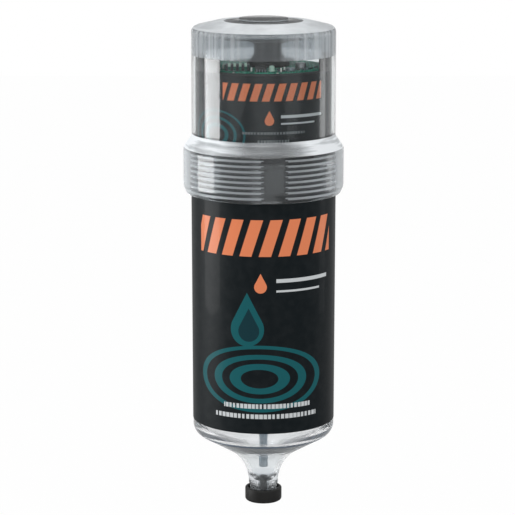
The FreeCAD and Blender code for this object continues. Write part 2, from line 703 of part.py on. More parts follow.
def make_drive_label():
    turned("drive_label", [
        ("housing_upper_radius + label_glue", "drive_label_bottom"),
        ("housing_upper_radius + label_glue + label_film", "drive_label_bottom"),
        ("housing_upper_radius + label_glue + label_film", "housing_top - drive_label_margin"),
        ("housing_upper_radius + label_glue", "housing_top - drive_label_margin"),
    ])


# Output shaft, its bush, lip seal and washer

WIPER_TOP = "(" + HUB_BOTTOM + " + wiper_height)"
WASHER_TOP = "(" + HUB_TOP + " + thrust_washer)"
SHAFT_FLANGE_Z = "(" + WASHER_TOP + " + washer_play)"
SHAFT_BOTTOM = "(" + HUB_BOTTOM + ")"
SOCKET_R = "(hex_radius + hex_play)"


def ring(name, inner, outer, bottom, top):
    return turned(name, [(inner, bottom), (outer, bottom), (outer, top), (inner, top)])


def hexagon(radius):
    corners = []
    for step in range(6):
        angle = "%d" % (60 * step + 30)
        corners.append(("%s * cos(%s)" % (radius, angle), "%s * sin(%s)" % (radius, angle)))
    return corners


def make_output_bearing():
    ring("output_bush", BUSH_BORE, "bush_radius", WIPER_TOP, HUB_TOP)
    ring("shaft_lip_seal", BUSH_BORE, "bush_radius", HUB_BOTTOM, WIPER_TOP)
    ring("thrust_washer", BUSH_BORE, "shaft_flange_radius", HUB_TOP, WASHER_TOP)


def make_output_shaft():
    body = new_body("output_shaft")
    revolve(body, "shaft_turn", [
        ("0", SHAFT_BOTTOM),
        ("shaft_radius", SHAFT_BOTTOM),
        ("shaft_radius", SHAFT_FLANGE_Z),
        ("shaft_flange_radius", SHAFT_FLANGE_Z),
        ("shaft_flange_radius", SHAFT_FLANGE_Z + " + shaft_flange"),
        ("shaft_radius", SHAFT_FLANGE_Z + " + shaft_flange"),
        ("shaft_radius", "shaft_top"),
        ("0", "shaft_top"),
    ])
    socket = closed_sketch(body, "socket_outline", "XY_Plane", hexagon(SOCKET_R))
    pocket(body, "socket", socket, SHAFT_BOTTOM, "hex_height + hex_play")


# Lead screw, piston, rings and nut

SHOULDER_TOP = "(" + HUB_BOTTOM + " - washer_play)"
NUT_BASE = "(piston_rest - piston_web_drop)"


def make_lead_screw():
    body = new_body("lead_screw")
    revolve(body, "screw_turn", [
        ("0", "tail_end"),
        ("tail_radius - tail_chamfer", "tail_end"),
        ("tail_radius", "tail_end + tail_chamfer"),
        ("tail_radius", "screw_bottom"),
        ("screw_radius", "screw_bottom + (screw_radius - tail_radius)"),
        ("screw_radius", SHOULDER_TOP + " - screw_shoulder"),
        ("screw_shoulder_radius", SHOULDER_TOP + " - screw_shoulder"),
        ("screw_shoulder_radius", SHOULDER_TOP),
        ("0", SHOULDER_TOP),
    ])
    head = closed_sketch(body, "hexagon_outline", "XY_Plane", hexagon("hex_radius"))
    pad(body, "hexagon", head, SHOULDER_TOP, "hex_height")


def groove(height, bore):
    """Corners of a ring groove in the skirt, from bottom to top."""
    low = "(piston_rest + %s)" % height
    high = "(piston_rest + %s + ring_height + 2 * groove_play)" % height
    return [("piston_radius", low), (bore, low), (bore, high), ("piston_radius", high)]


def make_piston():
    bore = "(ring_radius - ring_depth)"
    skirt_bore = "(piston_radius - piston_wall)"
    turned("piston", [
        ("nut_radius", NUT_BASE),
        ("piston_hub_radius", NUT_BASE),
        ("piston_radius", "piston_rest"),
    ] + groove("ring_low", bore) + groove("ring_high", bore) + [
        ("piston_radius", "piston_rest + piston_skirt"),
        (skirt_bore, "piston_rest + piston_skirt"),
        (skirt_bore, "piston_rest + piston_wall"),
        ("piston_hub_radius", NUT_BASE + " + piston_wall"),
        ("piston_hub_radius", NUT_BASE + " + piston_hub_height"),
        ("nut_radius", NUT_BASE + " + piston_hub_height"),
    ])


def make_piston_rings():
    for name, height in (("piston_ring_lower", "ring_low"), ("piston_ring_upper", "ring_high")):
        bottom = "(piston_rest + %s + groove_play)" % height
        ring(name, "(ring_radius - ring_depth)", "ring_radius", bottom, bottom + " + ring_height")


def make_piston_nut():
    bore = "(screw_radius + nut_play)"
    turned("piston_nut", [
        (bore, NUT_BASE + " - nut_flange"),
        ("nut_flange_radius", NUT_BASE + " - nut_flange"),
        ("nut_flange_radius", NUT_BASE),
        ("nut_radius", NUT_BASE),
        ("nut_radius", NUT_BASE + " + piston_hub_height"),
        (bore, NUT_BASE + " + piston_hub_height"),
    ])


# Reduction gears. Each tooth gap has flanks along the chords of an involute.

CENTRE_DISTANCE = "((wheel_teeth + pinion_teeth) * gear_module / 2)"
MIDDLE_BASE = "(output_wheel_base + stage_pitch)"
UPPER_BASE = "(" + MIDDLE_BASE + " + stage_pitch)"
AXLE_A = on_circle(CENTRE_DISTANCE, "gear_turn")
AXLE_B = on_circle(CENTRE_DISTANCE, "gear_turn + 60")


def pitch_radius(teeth):
    return "(%s * gear_module / 2)" % teeth


def tip_radius(teeth):
    return "((%s + 2) * gear_module / 2)" % teeth


def root_radius(teeth):
    return "((%s / 2 - tooth_root) * gear_module)" % teeth


def gap_angle(teeth, radius):
    """Half the angle of a tooth gap at a radius, in degrees."""
    pitch = pitch_radius(teeth)
    at_pitch = "90 / %s + backlash * 45 / (pi * %s)" % (teeth, pitch)
    flank = "acos(%s * cos(pressure_angle) / %s)" % (pitch, radius)
    turn = "(tan(pressure_angle) - tan(%s)) * 180 / pi" % flank
    return "(%s - %s + pressure_angle - %s / 1deg)" % (at_pitch, turn, flank)


def gap_outline(teeth, radial_foot):
    """Corners of one tooth gap about the X axis, beyond the tip on the outside."""
    base = "(%s * cos(pressure_angle))" % pitch_radius(teeth)
    tip, root = tip_radius(teeth), root_radius(teeth)
    tip_angle = gap_angle(teeth, tip)
    rows = [("(%s + gear_module)" % tip, tip_angle), (tip, tip_angle),
            (pitch_radius(teeth), gap_angle(teeth, pitch_radius(teeth)))]
    if radial_foot:
        foot = "(%s * 1.0005)" % base
        rows.append((foot, gap_angle(teeth, foot)))
        rows.append((root, gap_angle(teeth, foot)))
    else:
        rows.append((root, gap_angle(teeth, root)))
    below = [("%s * cos(%s)" % row, "0 - %s * sin(%s)" % row) for row in reversed(rows)]
    above = [("%s * cos(%s)" % row, "%s * sin(%s)" % row) for row in rows]
    return below + above


def add_teeth(body, name, teeth, base, face, radial_foot, first=0.0):
    """A toothed disc on the body, from base upward, its first gap turned by an angle."""
    disc = circle_sketch(body, name + "_disc_outline", "XY_Plane", tip_radius(teeth))
    pad(body, name + "_disc", disc, base, face)
    outline = closed_sketch(body, name + "_gap_outline", "XY_Plane", gap_outline(teeth, radial_foot))
    outline.AttachmentOffset = Placement(Vector(0, 0, 0), Rotation(Vector(0, 0, 1), first))
    gap = pocket(body, name + "_gap", outline, base, face)
    around(body, gap, teeth)


def add_bore(body, name, radius, base, length):
    sketch = circle_sketch(body, name + "_outline", "XY_Plane", radius)
    pocket(body, name, sketch, base, length)


def make_idler(name, axle, wheel_base, turn):
    """A wheel over a pinion, free on its axle."""
    body = new_body(name)
    pinion = "(stage_pitch + pinion_overhang)"
    add_teeth(body, name + "_pinion", "pinion_teeth", "0 - " + pinion, pinion, True,
              value("180 / pinion_teeth"))
    add_teeth(body, name + "_wheel", "wheel_teeth", "0 * wheel_face", "wheel_face", False)
    add_bore(body, name + "_bore", "(axle_radius + axle_play)", "0 - " + pinion, pinion + " + wheel_face")
    place(body, axle[0], axle[1], wheel_base, turn)


def make_output_wheel():
    body = new_body("output_wheel")
    add_teeth(body, "output", "wheel_teeth", "0 * wheel_face", "wheel_face", False)
    hub_base = SHAFT_FLANGE_Z + " + shaft_flange - output_wheel_base"
    hub = circle_sketch(body, "output_hub_outline", "XY_Plane", "wheel_hub_radius")
    pad(body, "output_hub", hub, hub_base, "0 - (" + hub_base + ") + wheel_face / 2")
    add_bore(body, "output_bore", "shaft_radius", hub_base, "wheel_face + 2 * shaft_flange")
    place(body, z="output_wheel_base", turn="gear_turn + 60")


def make_motor_pinion():
    body = new_body("motor_pinion")
    add_teeth(body, "motor_teeth", "pinion_teeth", "0 * wheel_face", "motor_pinion_face", True)
    add_bore(body, "motor_pinion_bore", "rotor_shaft_radius", "0 * wheel_face", "motor_pinion_face")
    place(body, z=UPPER_BASE + " - pinion_overhang", turn="gear_turn + 180 / pinion_teeth")


def make_axle(name, axle, shoulder_top):
    """An idler axle with a shoulder under its gear."""
    plate_top = "(" + FLOOR_TOP + " + lower_plate)"
    body = turned(name, [
        ("0", FLOOR_TOP),
        ("axle_radius", FLOOR_TOP),
        ("axle_radius", plate_top),
        ("axle_shoulder_radius", plate_top),
        ("axle_shoulder_radius", shoulder_top),
        ("axle_radius", shoulder_top),
        ("axle_radius", "upper_plate_base + upper_plate"),
        ("0", "upper_plate_base + upper_plate"),
    ])
    place(body, axle[0], axle[1])


def make_axle_clips():
    clips = []
    for name, axle, wheel_base in (("clip_a", AXLE_A, UPPER_BASE), ("clip_b", AXLE_B, MIDDLE_BASE)):
        height = wheel_base + " + wheel_face + washer_play"
        outer = cylinder(name + "_outer", "clip_radius", "clip_height", axle[0], axle[1], height)
        inner = cylinder(name + "_inner", "axle_radius", "clip_height", axle[0], axle[1], height)
        clip = doc.addObject("Part::Cut", name)
        clip.Base = outer
        clip.Tool = inner
        clips.append(clip)
    group("axle_clips", clips)


def make_gears():
    make_idler("idler_gear_a", AXLE_A, UPPER_BASE, "gear_turn + 180")
    make_idler("idler_gear_b", AXLE_B, MIDDLE_BASE, "gear_turn + 300")
    make_output_wheel()
    make_motor_pinion()
    overhang = "(pinion_overhang + washer_play)"
    make_axle("idler_axle_a", AXLE_A, "(" + MIDDLE_BASE + " - " + overhang + ")")
    make_axle("idler_axle_b", AXLE_B, "(output_wheel_base - " + overhang + ")")
    make_axle_clips()


# Gearbox plates, pillars and motor

UPPER_PLATE_TOP = "(upper_plate_base + upper_plate)"
MOTOR_TOP = "(" + UPPER_PLATE_TOP + " + motor_length)"


def plate(name, base, thickness, bore):
    """A gearbox plate with holes for the idler axles."""
    body = new_body(name)
    revolve(body, name + "_disc", [
        (bore, base), ("plate_radius", base),
        ("plate_radius", base + " + " + thickness), (bore, base + " + " + thickness)])
    for tag, axle in (("_hole_a", AXLE_A), ("_hole_b", AXLE_B)):
        sketch = circle_sketch(body, name + tag + "_outline", "XY_Plane", "axle_radius", axle[0], axle[1])
        pocket(body, name + tag, sketch, base, thickness)
    return body


def pillar_angles():
    return ["(gear_turn + %d)" % turn for turn in (30, 150, 270)]


def make_gearbox_frame():
    lower = plate("gearbox_lower_plate", FLOOR_TOP, "lower_plate", "lower_plate_bore")
    upper = plate("gearbox_upper_plate", "upper_plate_base", "upper_plate", "motor_boss_radius")
    pillars = []
    base = "(" + FLOOR_TOP + " + lower_plate)"
    for index, angle in enumerate(pillar_angles()):
        x, y = on_circle("pillar_circle", angle)
        stem = cylinder("pillar_stem_%d" % index, "pillar_radius",
                        "upper_plate_base - " + base, x, y, base)
        pin = cylinder("pillar_pin_%d" % index, "pillar_spigot",
                       UPPER_PLATE_TOP + " - " + FLOOR_TOP, x, y, FLOOR_TOP)
        fused = doc.addObject("Part::Fuse", "pillar_%d" % index)
        fused.Base = stem
        fused.Tool = pin
        pillars.append(fused)
        for body, bottom, thickness in ((lower, FLOOR_TOP, "lower_plate"),
                                        (upper, "upper_plate_base", "upper_plate")):
            name = "%s_pillar_hole_%d" % (body.Name, index)
            sketch = circle_sketch(body, name + "_outline", "XY_Plane", "pillar_spigot", x, y)
            pocket(body, name, sketch, bottom, thickness)
    group("gearbox_pillars", pillars)


def make_motor():
    bell_base = "(" + MOTOR_TOP + " - end_bell_height)"
    shaft_bore = "(rotor_shaft_radius + shaft_play)"
    turned("motor_can", [
        (shaft_bore, UPPER_PLATE_TOP + " - motor_boss_height"),
        ("motor_boss_radius", UPPER_PLATE_TOP + " - motor_boss_height"),
        ("motor_boss_radius", UPPER_PLATE_TOP),
        ("motor_radius - motor_round", UPPER_PLATE_TOP),
        ("motor_radius", UPPER_PLATE_TOP + " + motor_round"),
        ("motor_radius", bell_base),
        ("motor_radius - motor_wall", bell_base),
        ("motor_radius - motor_wall", UPPER_PLATE_TOP + " + motor_wall"),
        (shaft_bore, UPPER_PLATE_TOP + " + motor_wall"),
    ])
    magnet_base = "(" + UPPER_PLATE_TOP + " + motor_wall + washer_play)"
    ring("motor_magnet", "magnet_bore", "motor_radius - motor_wall",
         magnet_base, magnet_base + " + rotor_length")
    rotor_base = "(" + UPPER_PLATE_TOP + " + 2 * motor_wall)"
    turned("motor_rotor", [
        ("0", UPPER_BASE + " - pinion_overhang"),
        ("rotor_shaft_radius", UPPER_BASE + " - pinion_overhang"),
        ("rotor_shaft_radius", rotor_base),
        ("rotor_radius", rotor_base),
        ("rotor_radius", rotor_base + " + rotor_length"),
        ("rotor_shaft_radius", rotor_base + " + rotor_length"),
        ("rotor_shaft_radius", MOTOR_TOP),
        ("0", MOTOR_TOP),
    ])
    turned("motor_end_bell", [
        (shaft_bore, bell_base),
        ("motor_radius", bell_base),
        ("motor_radius - motor_round", MOTOR_TOP),
        (shaft_bore, MOTOR_TOP),
    ])


# Battery cells, their contacts and the plate that holds them down

CELL_BASE = "(" + UPPER_PLATE_TOP + " + spring_height)"
CELL_TOP = "(" + CELL_BASE + " + cell_length + cell_button)"
RETAINER_BASE = "(" + CELL_TOP + " + contact_sheet)"
RETAINER_TOP = "(" + RETAINER_BASE + " + retainer)"


def cell_angle(index):
    return "(cell_turn + %d * 360 / cell_count)" % index


def make_cells():
    for index in range(int(value("cell_count"))):
        x, y = on_circle("cell_circle", cell_angle(index))
        cell = turned("battery_cell_%d" % (index + 1), [
            ("0", CELL_BASE),
            ("cell_radius", CELL_BASE),
            ("cell_radius", CELL_BASE + " + cell_length"),
            ("cell_button_radius", CELL_BASE + " + cell_length"),
            ("cell_button_radius", CELL_TOP),
            ("0", CELL_TOP),
        ])
        place(cell, x, y)


def make_cell_contacts():
    springs = []
    strips = []
    for index in range(int(value("cell_count"))):
        x, y = on_circle("cell_circle", cell_angle(index))
        cone = doc.addObject("Part::Cone", "spring_envelope_%d" % index)
        cone.setExpression("Radius1", bind("spring_radius"))
        cone.setExpression("Radius2", bind("spring_radius / 2"))
        cone.setExpression("Height", bind("spring_height"))
        place(cone, x, y, UPPER_PLATE_TOP)
        hollow = doc.addObject("Part::Cone", "spring_hollow_%d" % index)
        hollow.setExpression("Radius1", bind("spring_radius - 2 * spring_wire"))
        hollow.setExpression("Radius2", bind("spring_radius / 2 - 2 * spring_wire"))
        hollow.setExpression("Height", bind("spring_height"))
        place(hollow, x, y, UPPER_PLATE_TOP)
        spring = doc.addObject("Part::Cut", "spring_%d" % index)
        spring.Base = cone
        spring.Tool = hollow
        springs.append(spring)
        strips.append(cylinder("contact_%d" % index, "cell_button_radius * 2", "contact_sheet",
                               x, y, CELL_TOP))
    group("battery_springs", springs)
    group("battery_contacts", strips)


def board_screw_angle(index):
    return "(board_screw_turn + %d)" % (120 * index)


BOARD_BASE = "(housing_top + board_proud - board)"
BOARD_TOP = "(housing_top + board_proud)"


def make_battery_retainer():
    body = new_body("battery_retainer")
    revolve(body, "retainer_disc", [
        ("retainer_bore", RETAINER_BASE), ("retainer_radius", RETAINER_BASE),
        ("retainer_radius", RETAINER_TOP), ("retainer_bore", RETAINER_TOP)])
    for index in range(3):
        x, y = on_circle("board_screw_circle", board_screw_angle(index))
        boss = circle_sketch(body, "boss_outline_%d" % index, "XY_Plane", "board_boss_radius", x, y)
        pad(body, "boss_%d" % index, boss, RETAINER_TOP, BOARD_BASE + " - " + RETAINER_TOP)
    for index in range(3):
        x, y = on_circle("board_screw_circle", board_screw_angle(index))
        hole = circle_sketch(body, "boss_hole_outline_%d" % index, "XY_Plane", "board_hole", x, y)
        pocket(body, "boss_hole_%d" % index, hole, RETAINER_BASE, BOARD_BASE + " - " + RETAINER_BASE)


# Circuit board and what stands on it

def make_circuit_board():
    body = new_body("circuit_board")
    revolve(body, "board_disc", [
        ("0", BOARD_BASE), ("board_radius", BOARD_BASE), ("board_radius", BOARD_TOP), ("0", BOARD_TOP)])
    for index in range(3):
        x, y = on_circle("board_screw_circle", board_screw_angle(index))
        hole = circle_sketch(body, "board_hole_outline_%d" % index, "XY_Plane", "board_hole", x, y)
        pocket(body, "board_hole_%d" % index, hole, BOARD_BASE, "board")


def make_board_screws():
    screws = []
    for index in range(3):
        x, y = on_circle("board_screw_circle", board_screw_angle(index))
        head = cylinder("screw_head_%d" % index, "screw_head_radius", "screw_head", x, y, BOARD_TOP)
        stem = cylinder("screw_stem_%d" % index, "board_hole",
                        BOARD_TOP + " - " + RETAINER_BASE, x, y, RETAINER_BASE)
        screw = doc.addObject("Part::Fuse", "board_screw_%d" % index)
        screw.Base = head
        screw.Tool = stem
        screws.append(screw)
    group("board_screws", screws)


def block(name, x, y, width, depth, base, height):
    body = new_body(name)
    sketch = closed_sketch(body, name + "_outline", "XY_Plane", rectangle(x, y, width, depth))
    pad(body, name + "_block", sketch, base, height)
    return body


SWITCH_TOP = "(" + BOARD_TOP + " + switch_height)"


def slider_x(index):
    return "(switch_x + (%d - (slider_count - 1) / 2) * slider_pitch)" % index


def make_switch_block():
    body = block("switch_block", "switch_x", "switch_y", "switch_width", "switch_depth",
                 BOARD_TOP, "switch_height")
    for index in range(int(value("slider_count"))):
        sketch = closed_sketch(body, "slot_outline_%d" % index, "XY_Plane", rectangle(
            slider_x(index), "switch_y", "slot_width", "slot_length"))
        pocket(body, "slot_%d" % index, sketch, SWITCH_TOP + " - slot_depth", "slot_depth")


def make_switch_sliders():
    """Each slider rests at the front end of its slot."""
    middle = "(switch_y - slot_length / 2 + slider_play + slider_length / 2)"
    for index in range(int(value("slider_count"))):
        block("switch_slider_%d" % (index + 1), slider_x(index), middle,
              "(slot_width - 2 * slider_play)", "slider_length",
              SWITCH_TOP + " - slot_depth + slider_play",
              "slot_depth - slider_play + slider_rise")


def make_signal_lamp():
    body = turned("signal_lamp", [
        ("0", BOARD_TOP),
        ("led_radius + 0.2 * led_foot", BOARD_TOP),
        ("led_radius + 0.2 * led_foot", BOARD_TOP + " + led_foot"),
        ("led_radius", BOARD_TOP + " + led_foot"),
        ("led_radius", BOARD_TOP + " + led_height - led_radius / 2"),
        ("0.6 * led_radius", BOARD_TOP + " + led_height - led_radius / 8"),
        ("0", BOARD_TOP + " + led_height"),
    ])
    place(body, "led_x", "led_y")


def make_capacitor():
    body = turned("capacitor", [
        ("0", BOARD_TOP), ("capacitor_radius", BOARD_TOP),
        ("capacitor_radius", BOARD_TOP + " + capacitor_height"), ("0", BOARD_TOP + " + capacitor_height")])
    place(body, "capacitor_x", "capacitor_y")


def make_battery_connector():
    body = block("battery_connector", "connector_x", "connector_y", "connector_width",
                 "connector_depth", BOARD_TOP, "connector_height")
    mouth = closed_sketch(body, "connector_mouth_outline", "XY_Plane", rectangle(
        "connector_x", "connector_y", "(connector_width - 2 * connector_wall)",
        "(connector_depth - 2 * connector_wall)"))
    pocket(body, "connector_mouth", mouth, BOARD_TOP + " + connector_wall",
           "connector_height - connector_wall")


def make_rubber_post():
    top = "(" + INNER_TOP + " - cushion_height - post_play)"
    head_base = "(" + top + " - post_head)"
    foot_top = "(" + BOARD_TOP + " + post_foot)"
    body = turned("rubber_post", [
        ("0", BOARD_TOP),
        ("post_foot_radius", BOARD_TOP),
        ("post_foot_radius", foot_top),
        ("post_waist_radius", foot_top + " + post_flare"),
        ("post_waist_radius", head_base + " - post_flare"),
        ("post_head_radius", head_base),
        ("post_head_radius", top),
        ("0", top),
    ])
    place(body, "post_x")


# Build, check and write

def build_all():
    for make in (make_canister, make_canister_label, make_outlet_cap, make_drive_cover,
                 make_cover_cushion, make_cover_seal, make_drive_housing, make_drive_label,
                 make_output_bearing, make_output_shaft, make_lead_screw, make_piston,
                 make_piston_rings, make_piston_nut, make_gears, make_gearbox_frame, make_motor,
                 make_cells, make_cell_contacts, make_battery_retainer, make_circuit_board,
                 make_board_screws, make_switch_block, make_switch_sliders):
        make()
    block("timer_chip", "chip_x", "chip_y", "chip_width", "chip_depth", BOARD_TOP, "chip_height")
    make_signal_lamp()
    make_capacitor()
    make_battery_connector()
    make_rubber_post()
    doc.recompute()


def check_objects():
    for item in doc.Objects:
        for word in ("Invalid", "Error"):
            if word in item.State:
                raise RuntimeError("%s is %s" % (item.Label, item.State))
    for node in nodes:
        if node.Shape.isNull() or not node.Shape.isValid():
            raise RuntimeError("%s has no valid shape" % node.Label)


def write_parts():
    os.makedirs("parts", exist_ok=True)
    for node in nodes:
        node.Shape.exportStep("parts/%s.step" % node.Label)
        box = node.Shape.BoundBox
        print("%-22s solids %d volume %9.1f  z %7.2f to %7.2f" % (
            node.Label, len(node.Shape.Solids), node.Shape.Volume, box.ZMin, box.ZMax))


build_all()
check_objects()
write_parts()
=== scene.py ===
# Automatic grease lubricator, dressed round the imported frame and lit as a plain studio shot.
# Numbers in the dictionaries are millimetres and degrees, unless a note says otherwise.
import math
import bmesh
import bpy
from mathutils import Matrix, Vector


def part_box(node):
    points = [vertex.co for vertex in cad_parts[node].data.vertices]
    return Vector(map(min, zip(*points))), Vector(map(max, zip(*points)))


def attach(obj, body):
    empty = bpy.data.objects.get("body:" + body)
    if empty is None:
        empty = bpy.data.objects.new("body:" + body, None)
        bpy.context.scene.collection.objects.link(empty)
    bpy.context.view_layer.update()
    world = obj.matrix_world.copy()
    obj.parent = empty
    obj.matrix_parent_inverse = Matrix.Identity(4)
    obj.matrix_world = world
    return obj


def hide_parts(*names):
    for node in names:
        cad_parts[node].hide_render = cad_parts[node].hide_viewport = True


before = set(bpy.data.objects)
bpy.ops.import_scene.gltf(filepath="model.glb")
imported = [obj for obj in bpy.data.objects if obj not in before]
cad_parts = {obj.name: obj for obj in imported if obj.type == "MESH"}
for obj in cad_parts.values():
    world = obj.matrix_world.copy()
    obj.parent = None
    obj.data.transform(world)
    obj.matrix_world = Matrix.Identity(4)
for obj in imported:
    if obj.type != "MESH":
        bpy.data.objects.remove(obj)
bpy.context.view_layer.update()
scene = bpy.context.scene
mm = 0.001
upright = (0, 0, 1)


class Plan(dict):
    # a dictionary whose entries can be read with a dot
    __getattr__ = dict.__getitem__


# Shader maths: a Value is one output of a node, a Finish is the tree that it lives in

def operator(name):
    # a method of Value that adds the maths node of that name
    return lambda self, *others: self.math(name, self, *others)


class Value:
    def __init__(self, finish, socket):
        self.finish, self.socket = finish, socket

    def math(self, operation, *given):
        return self.finish.add("ShaderNodeMath", {"operation": operation}, list(given))

    def __rsub__(self, other):
        return self.math("SUBTRACT", other, self)

    __add__ = __radd__ = operator("ADD")
    __sub__ = operator("SUBTRACT")
    __mul__ = __rmul__ = operator("MULTIPLY")
    __truediv__ = operator("DIVIDE")
    __gt__ = operator("GREATER_THAN")
    __lt__ = operator("LESS_THAN")
    __pow__ = operator("POWER")
    __abs__ = operator("ABSOLUTE")
    fraction = operator("FRACT")
    floor = operator("FLOOR")
    most = operator("MAXIMUM")

    def ramp(self, low, high, start=0.0, end=1.0):
        settings = {"interpolation_type": "SMOOTHSTEP"}
        return self.finish.add("ShaderNodeMapRange", settings, [self, low, high, start, end])

    def between(self, low, high, soft=0.06):
        return self.ramp(low - soft, low + soft) * self.ramp(high - soft, high + soft, 1.0, 0.0)


class Finish:
    def __init__(self, owner):
        owner.use_nodes = True
        self.tree = owner.node_tree
        self.tree.nodes.clear()

    def add(self, kind, settings=None, given=(), output=0):
        node = self.tree.nodes.new(kind)
        for name, setting in (settings or {}).items():
            setattr(node, name, setting)
        pairs = given.items() if isinstance(given, dict) else enumerate(given)
        for name, part in pairs:
            if isinstance(part, Value):
                self.tree.links.new(part.socket, node.inputs[name])
            elif part is not None:
                node.inputs[name].default_value = part
        return Value(self, node.outputs[output]) if len(node.outputs) else None

    def place(self):
        return self.add("ShaderNodeTexCoord", output="Object")

    def axes(self, vector, names="XYZ"):
        return [self.add("ShaderNodeSeparateXYZ", None, [vector], name) for name in names]

    def tint(self, mask, one, two):
        settings = {"data_type": "RGBA"}
        return self.add("ShaderNodeMix", settings, {0: mask, 6: one, 7: two}, 2)

    def noise(self, vector, scale, detail=2.0):
        return self.add("ShaderNodeTexNoise", None, {"Vector": vector, "Scale": scale, "Detail": detail})

    def stretched(self, vector, scale):
        return self.add("ShaderNodeMapping", None, {"Vector": vector, "Scale": scale})

    def bump(self, height, strength, distance):
        given = {"Height": height, "Strength": strength, "Distance": distance}
        return self.add("ShaderNodeBump", None, given)

    def principled(self, given):
        return self.add("ShaderNodeBsdfPrincipled", None, given)

    def surface(self, shader):
        self.add("ShaderNodeOutputMaterial", None, {"Surface": shader})


def rgb(red, green, blue):
    # an 8-bit screen colour as the linear colour that a shader takes
    shares = [part / 255 for part in (red, green, blue)]
    linear = [part / 12.92 if part <= 0.04045 else ((part + 0.055) / 1.055) ** 2.4 for part in shares]
    return (*linear, 1.0)


def newFinish(name):
    material = bpy.data.materials.new(name)
    return material, Finish(material)


# Materials

# the milk colour is the white of the painted haze
clear = Plan(flowStretch=(1, 1, 0.04), flowScale=95, driftScale=28, driftShare=0.35, veinScale=130,
             index=1.49, shade=(0.9, 0.92, 0.92, 1), milk=rgb(237, 241, 244),
             bumpDepth=0.0006)  # metres, as for every bump below


def clearPlastic(name, colour, streak, rough, paintedHaze=(0.0, 0.0), reach=(6.0, 32.0), veins=0.0,
                 grain=(0.25, 0.25, 3.0)):
    # clear moulding with faint upright flow streaks, that lets lamps through; the haze is painted light:
    # a white diffuse mixed into the wall, from its share at the middle to that at the sides, over the reach
    material, finish = newFinish(name)
    place = finish.place()
    [x] = finish.axes(place, "X")
    flow = finish.noise(finish.stretched(place, clear.flowStretch), clear.flowScale)
    drift = finish.noise(place, clear.driftScale)
    normal = finish.bump(flow + drift * clear.driftShare, streak, clear.bumpDepth)
    plastic = finish.principled({
        "Base Color": colour, "Roughness": rough, "IOR": clear.index,
        "Transmission Weight": 1.0, "Normal": normal})
    through = finish.add("ShaderNodeBsdfTransparent", None, {"Color": clear.shade})
    milk = finish.add("ShaderNodeBsdfDiffuse", None, {"Color": clear.milk})
    level = finish.noise(finish.stretched(place, grain), clear.veinScale)
    level = level.ramp(0.35, 0.65, -veins, veins)
    # painted light and shade: the haze share changes from the middle of the wall to its sides, across x
    share = (abs(x) * 1000.0).ramp(*reach, *paintedHaze) * (flow * 0.8 + 0.6 + level)
    plastic = finish.add("ShaderNodeMixShader", None, [share, plastic, milk])
    shadow = finish.add("ShaderNodeLightPath", output="Is Shadow Ray")
    finish.surface(finish.add("ShaderNodeMixShader", None, [shadow, plastic, through]))
    return material


def mouldedPlastic(name, colour, rough=0.42, grain=1400, lift=0.12):
    # solid moulding: fine grain, slow change of tone and gloss
    material, finish = newFinish(name)
    place = finish.place()
    cloud = finish.noise(place, 60, 3)
    fine = finish.noise(place, grain)
    lighter = tuple(min(1.0, part * 1.5 + 0.004) for part in colour[:3]) + (1,)
    tone = finish.tint(cloud.ramp(0.35, 0.75, 0.0, 0.6), colour, lighter)
    finish.surface(finish.principled({
        "Base Color": tone, "Roughness": cloud * 0.16 + (rough - 0.08),
        "Normal": finish.bump(fine, lift, 0.0002)}))
    return material


def turnedMetal(name, colour, rough=0.28, lines=2600, lift=0.1):
    # metal with fine tool marks round the axis
    material, finish = newFinish(name)
    place = finish.place()
    marks = finish.noise(finish.stretched(place, (0.05, 0.05, 1)), lines)
    cloud = finish.noise(place, 90)
    darker = tuple(part * 0.72 for part in colour[:3]) + (1,)
    finish.surface(finish.principled({
        "Base Color": finish.tint(cloud.ramp(0.3, 0.7), darker, colour), "Metallic": 1.0,
        "Roughness": cloud * 0.2 + (rough - 0.1), "Normal": finish.bump(marks, lift, 0.0001)}))
    return material


inks = Plan(
    ground=rgb(14, 23, 27), groundLight=rgb(25, 31, 34), orange=rgb(222, 128, 86), teal=rgb(10, 88, 94),
    tealDeep=rgb(10, 52, 60), white=rgb(196, 200, 202), faint=rgb(112, 118, 120))


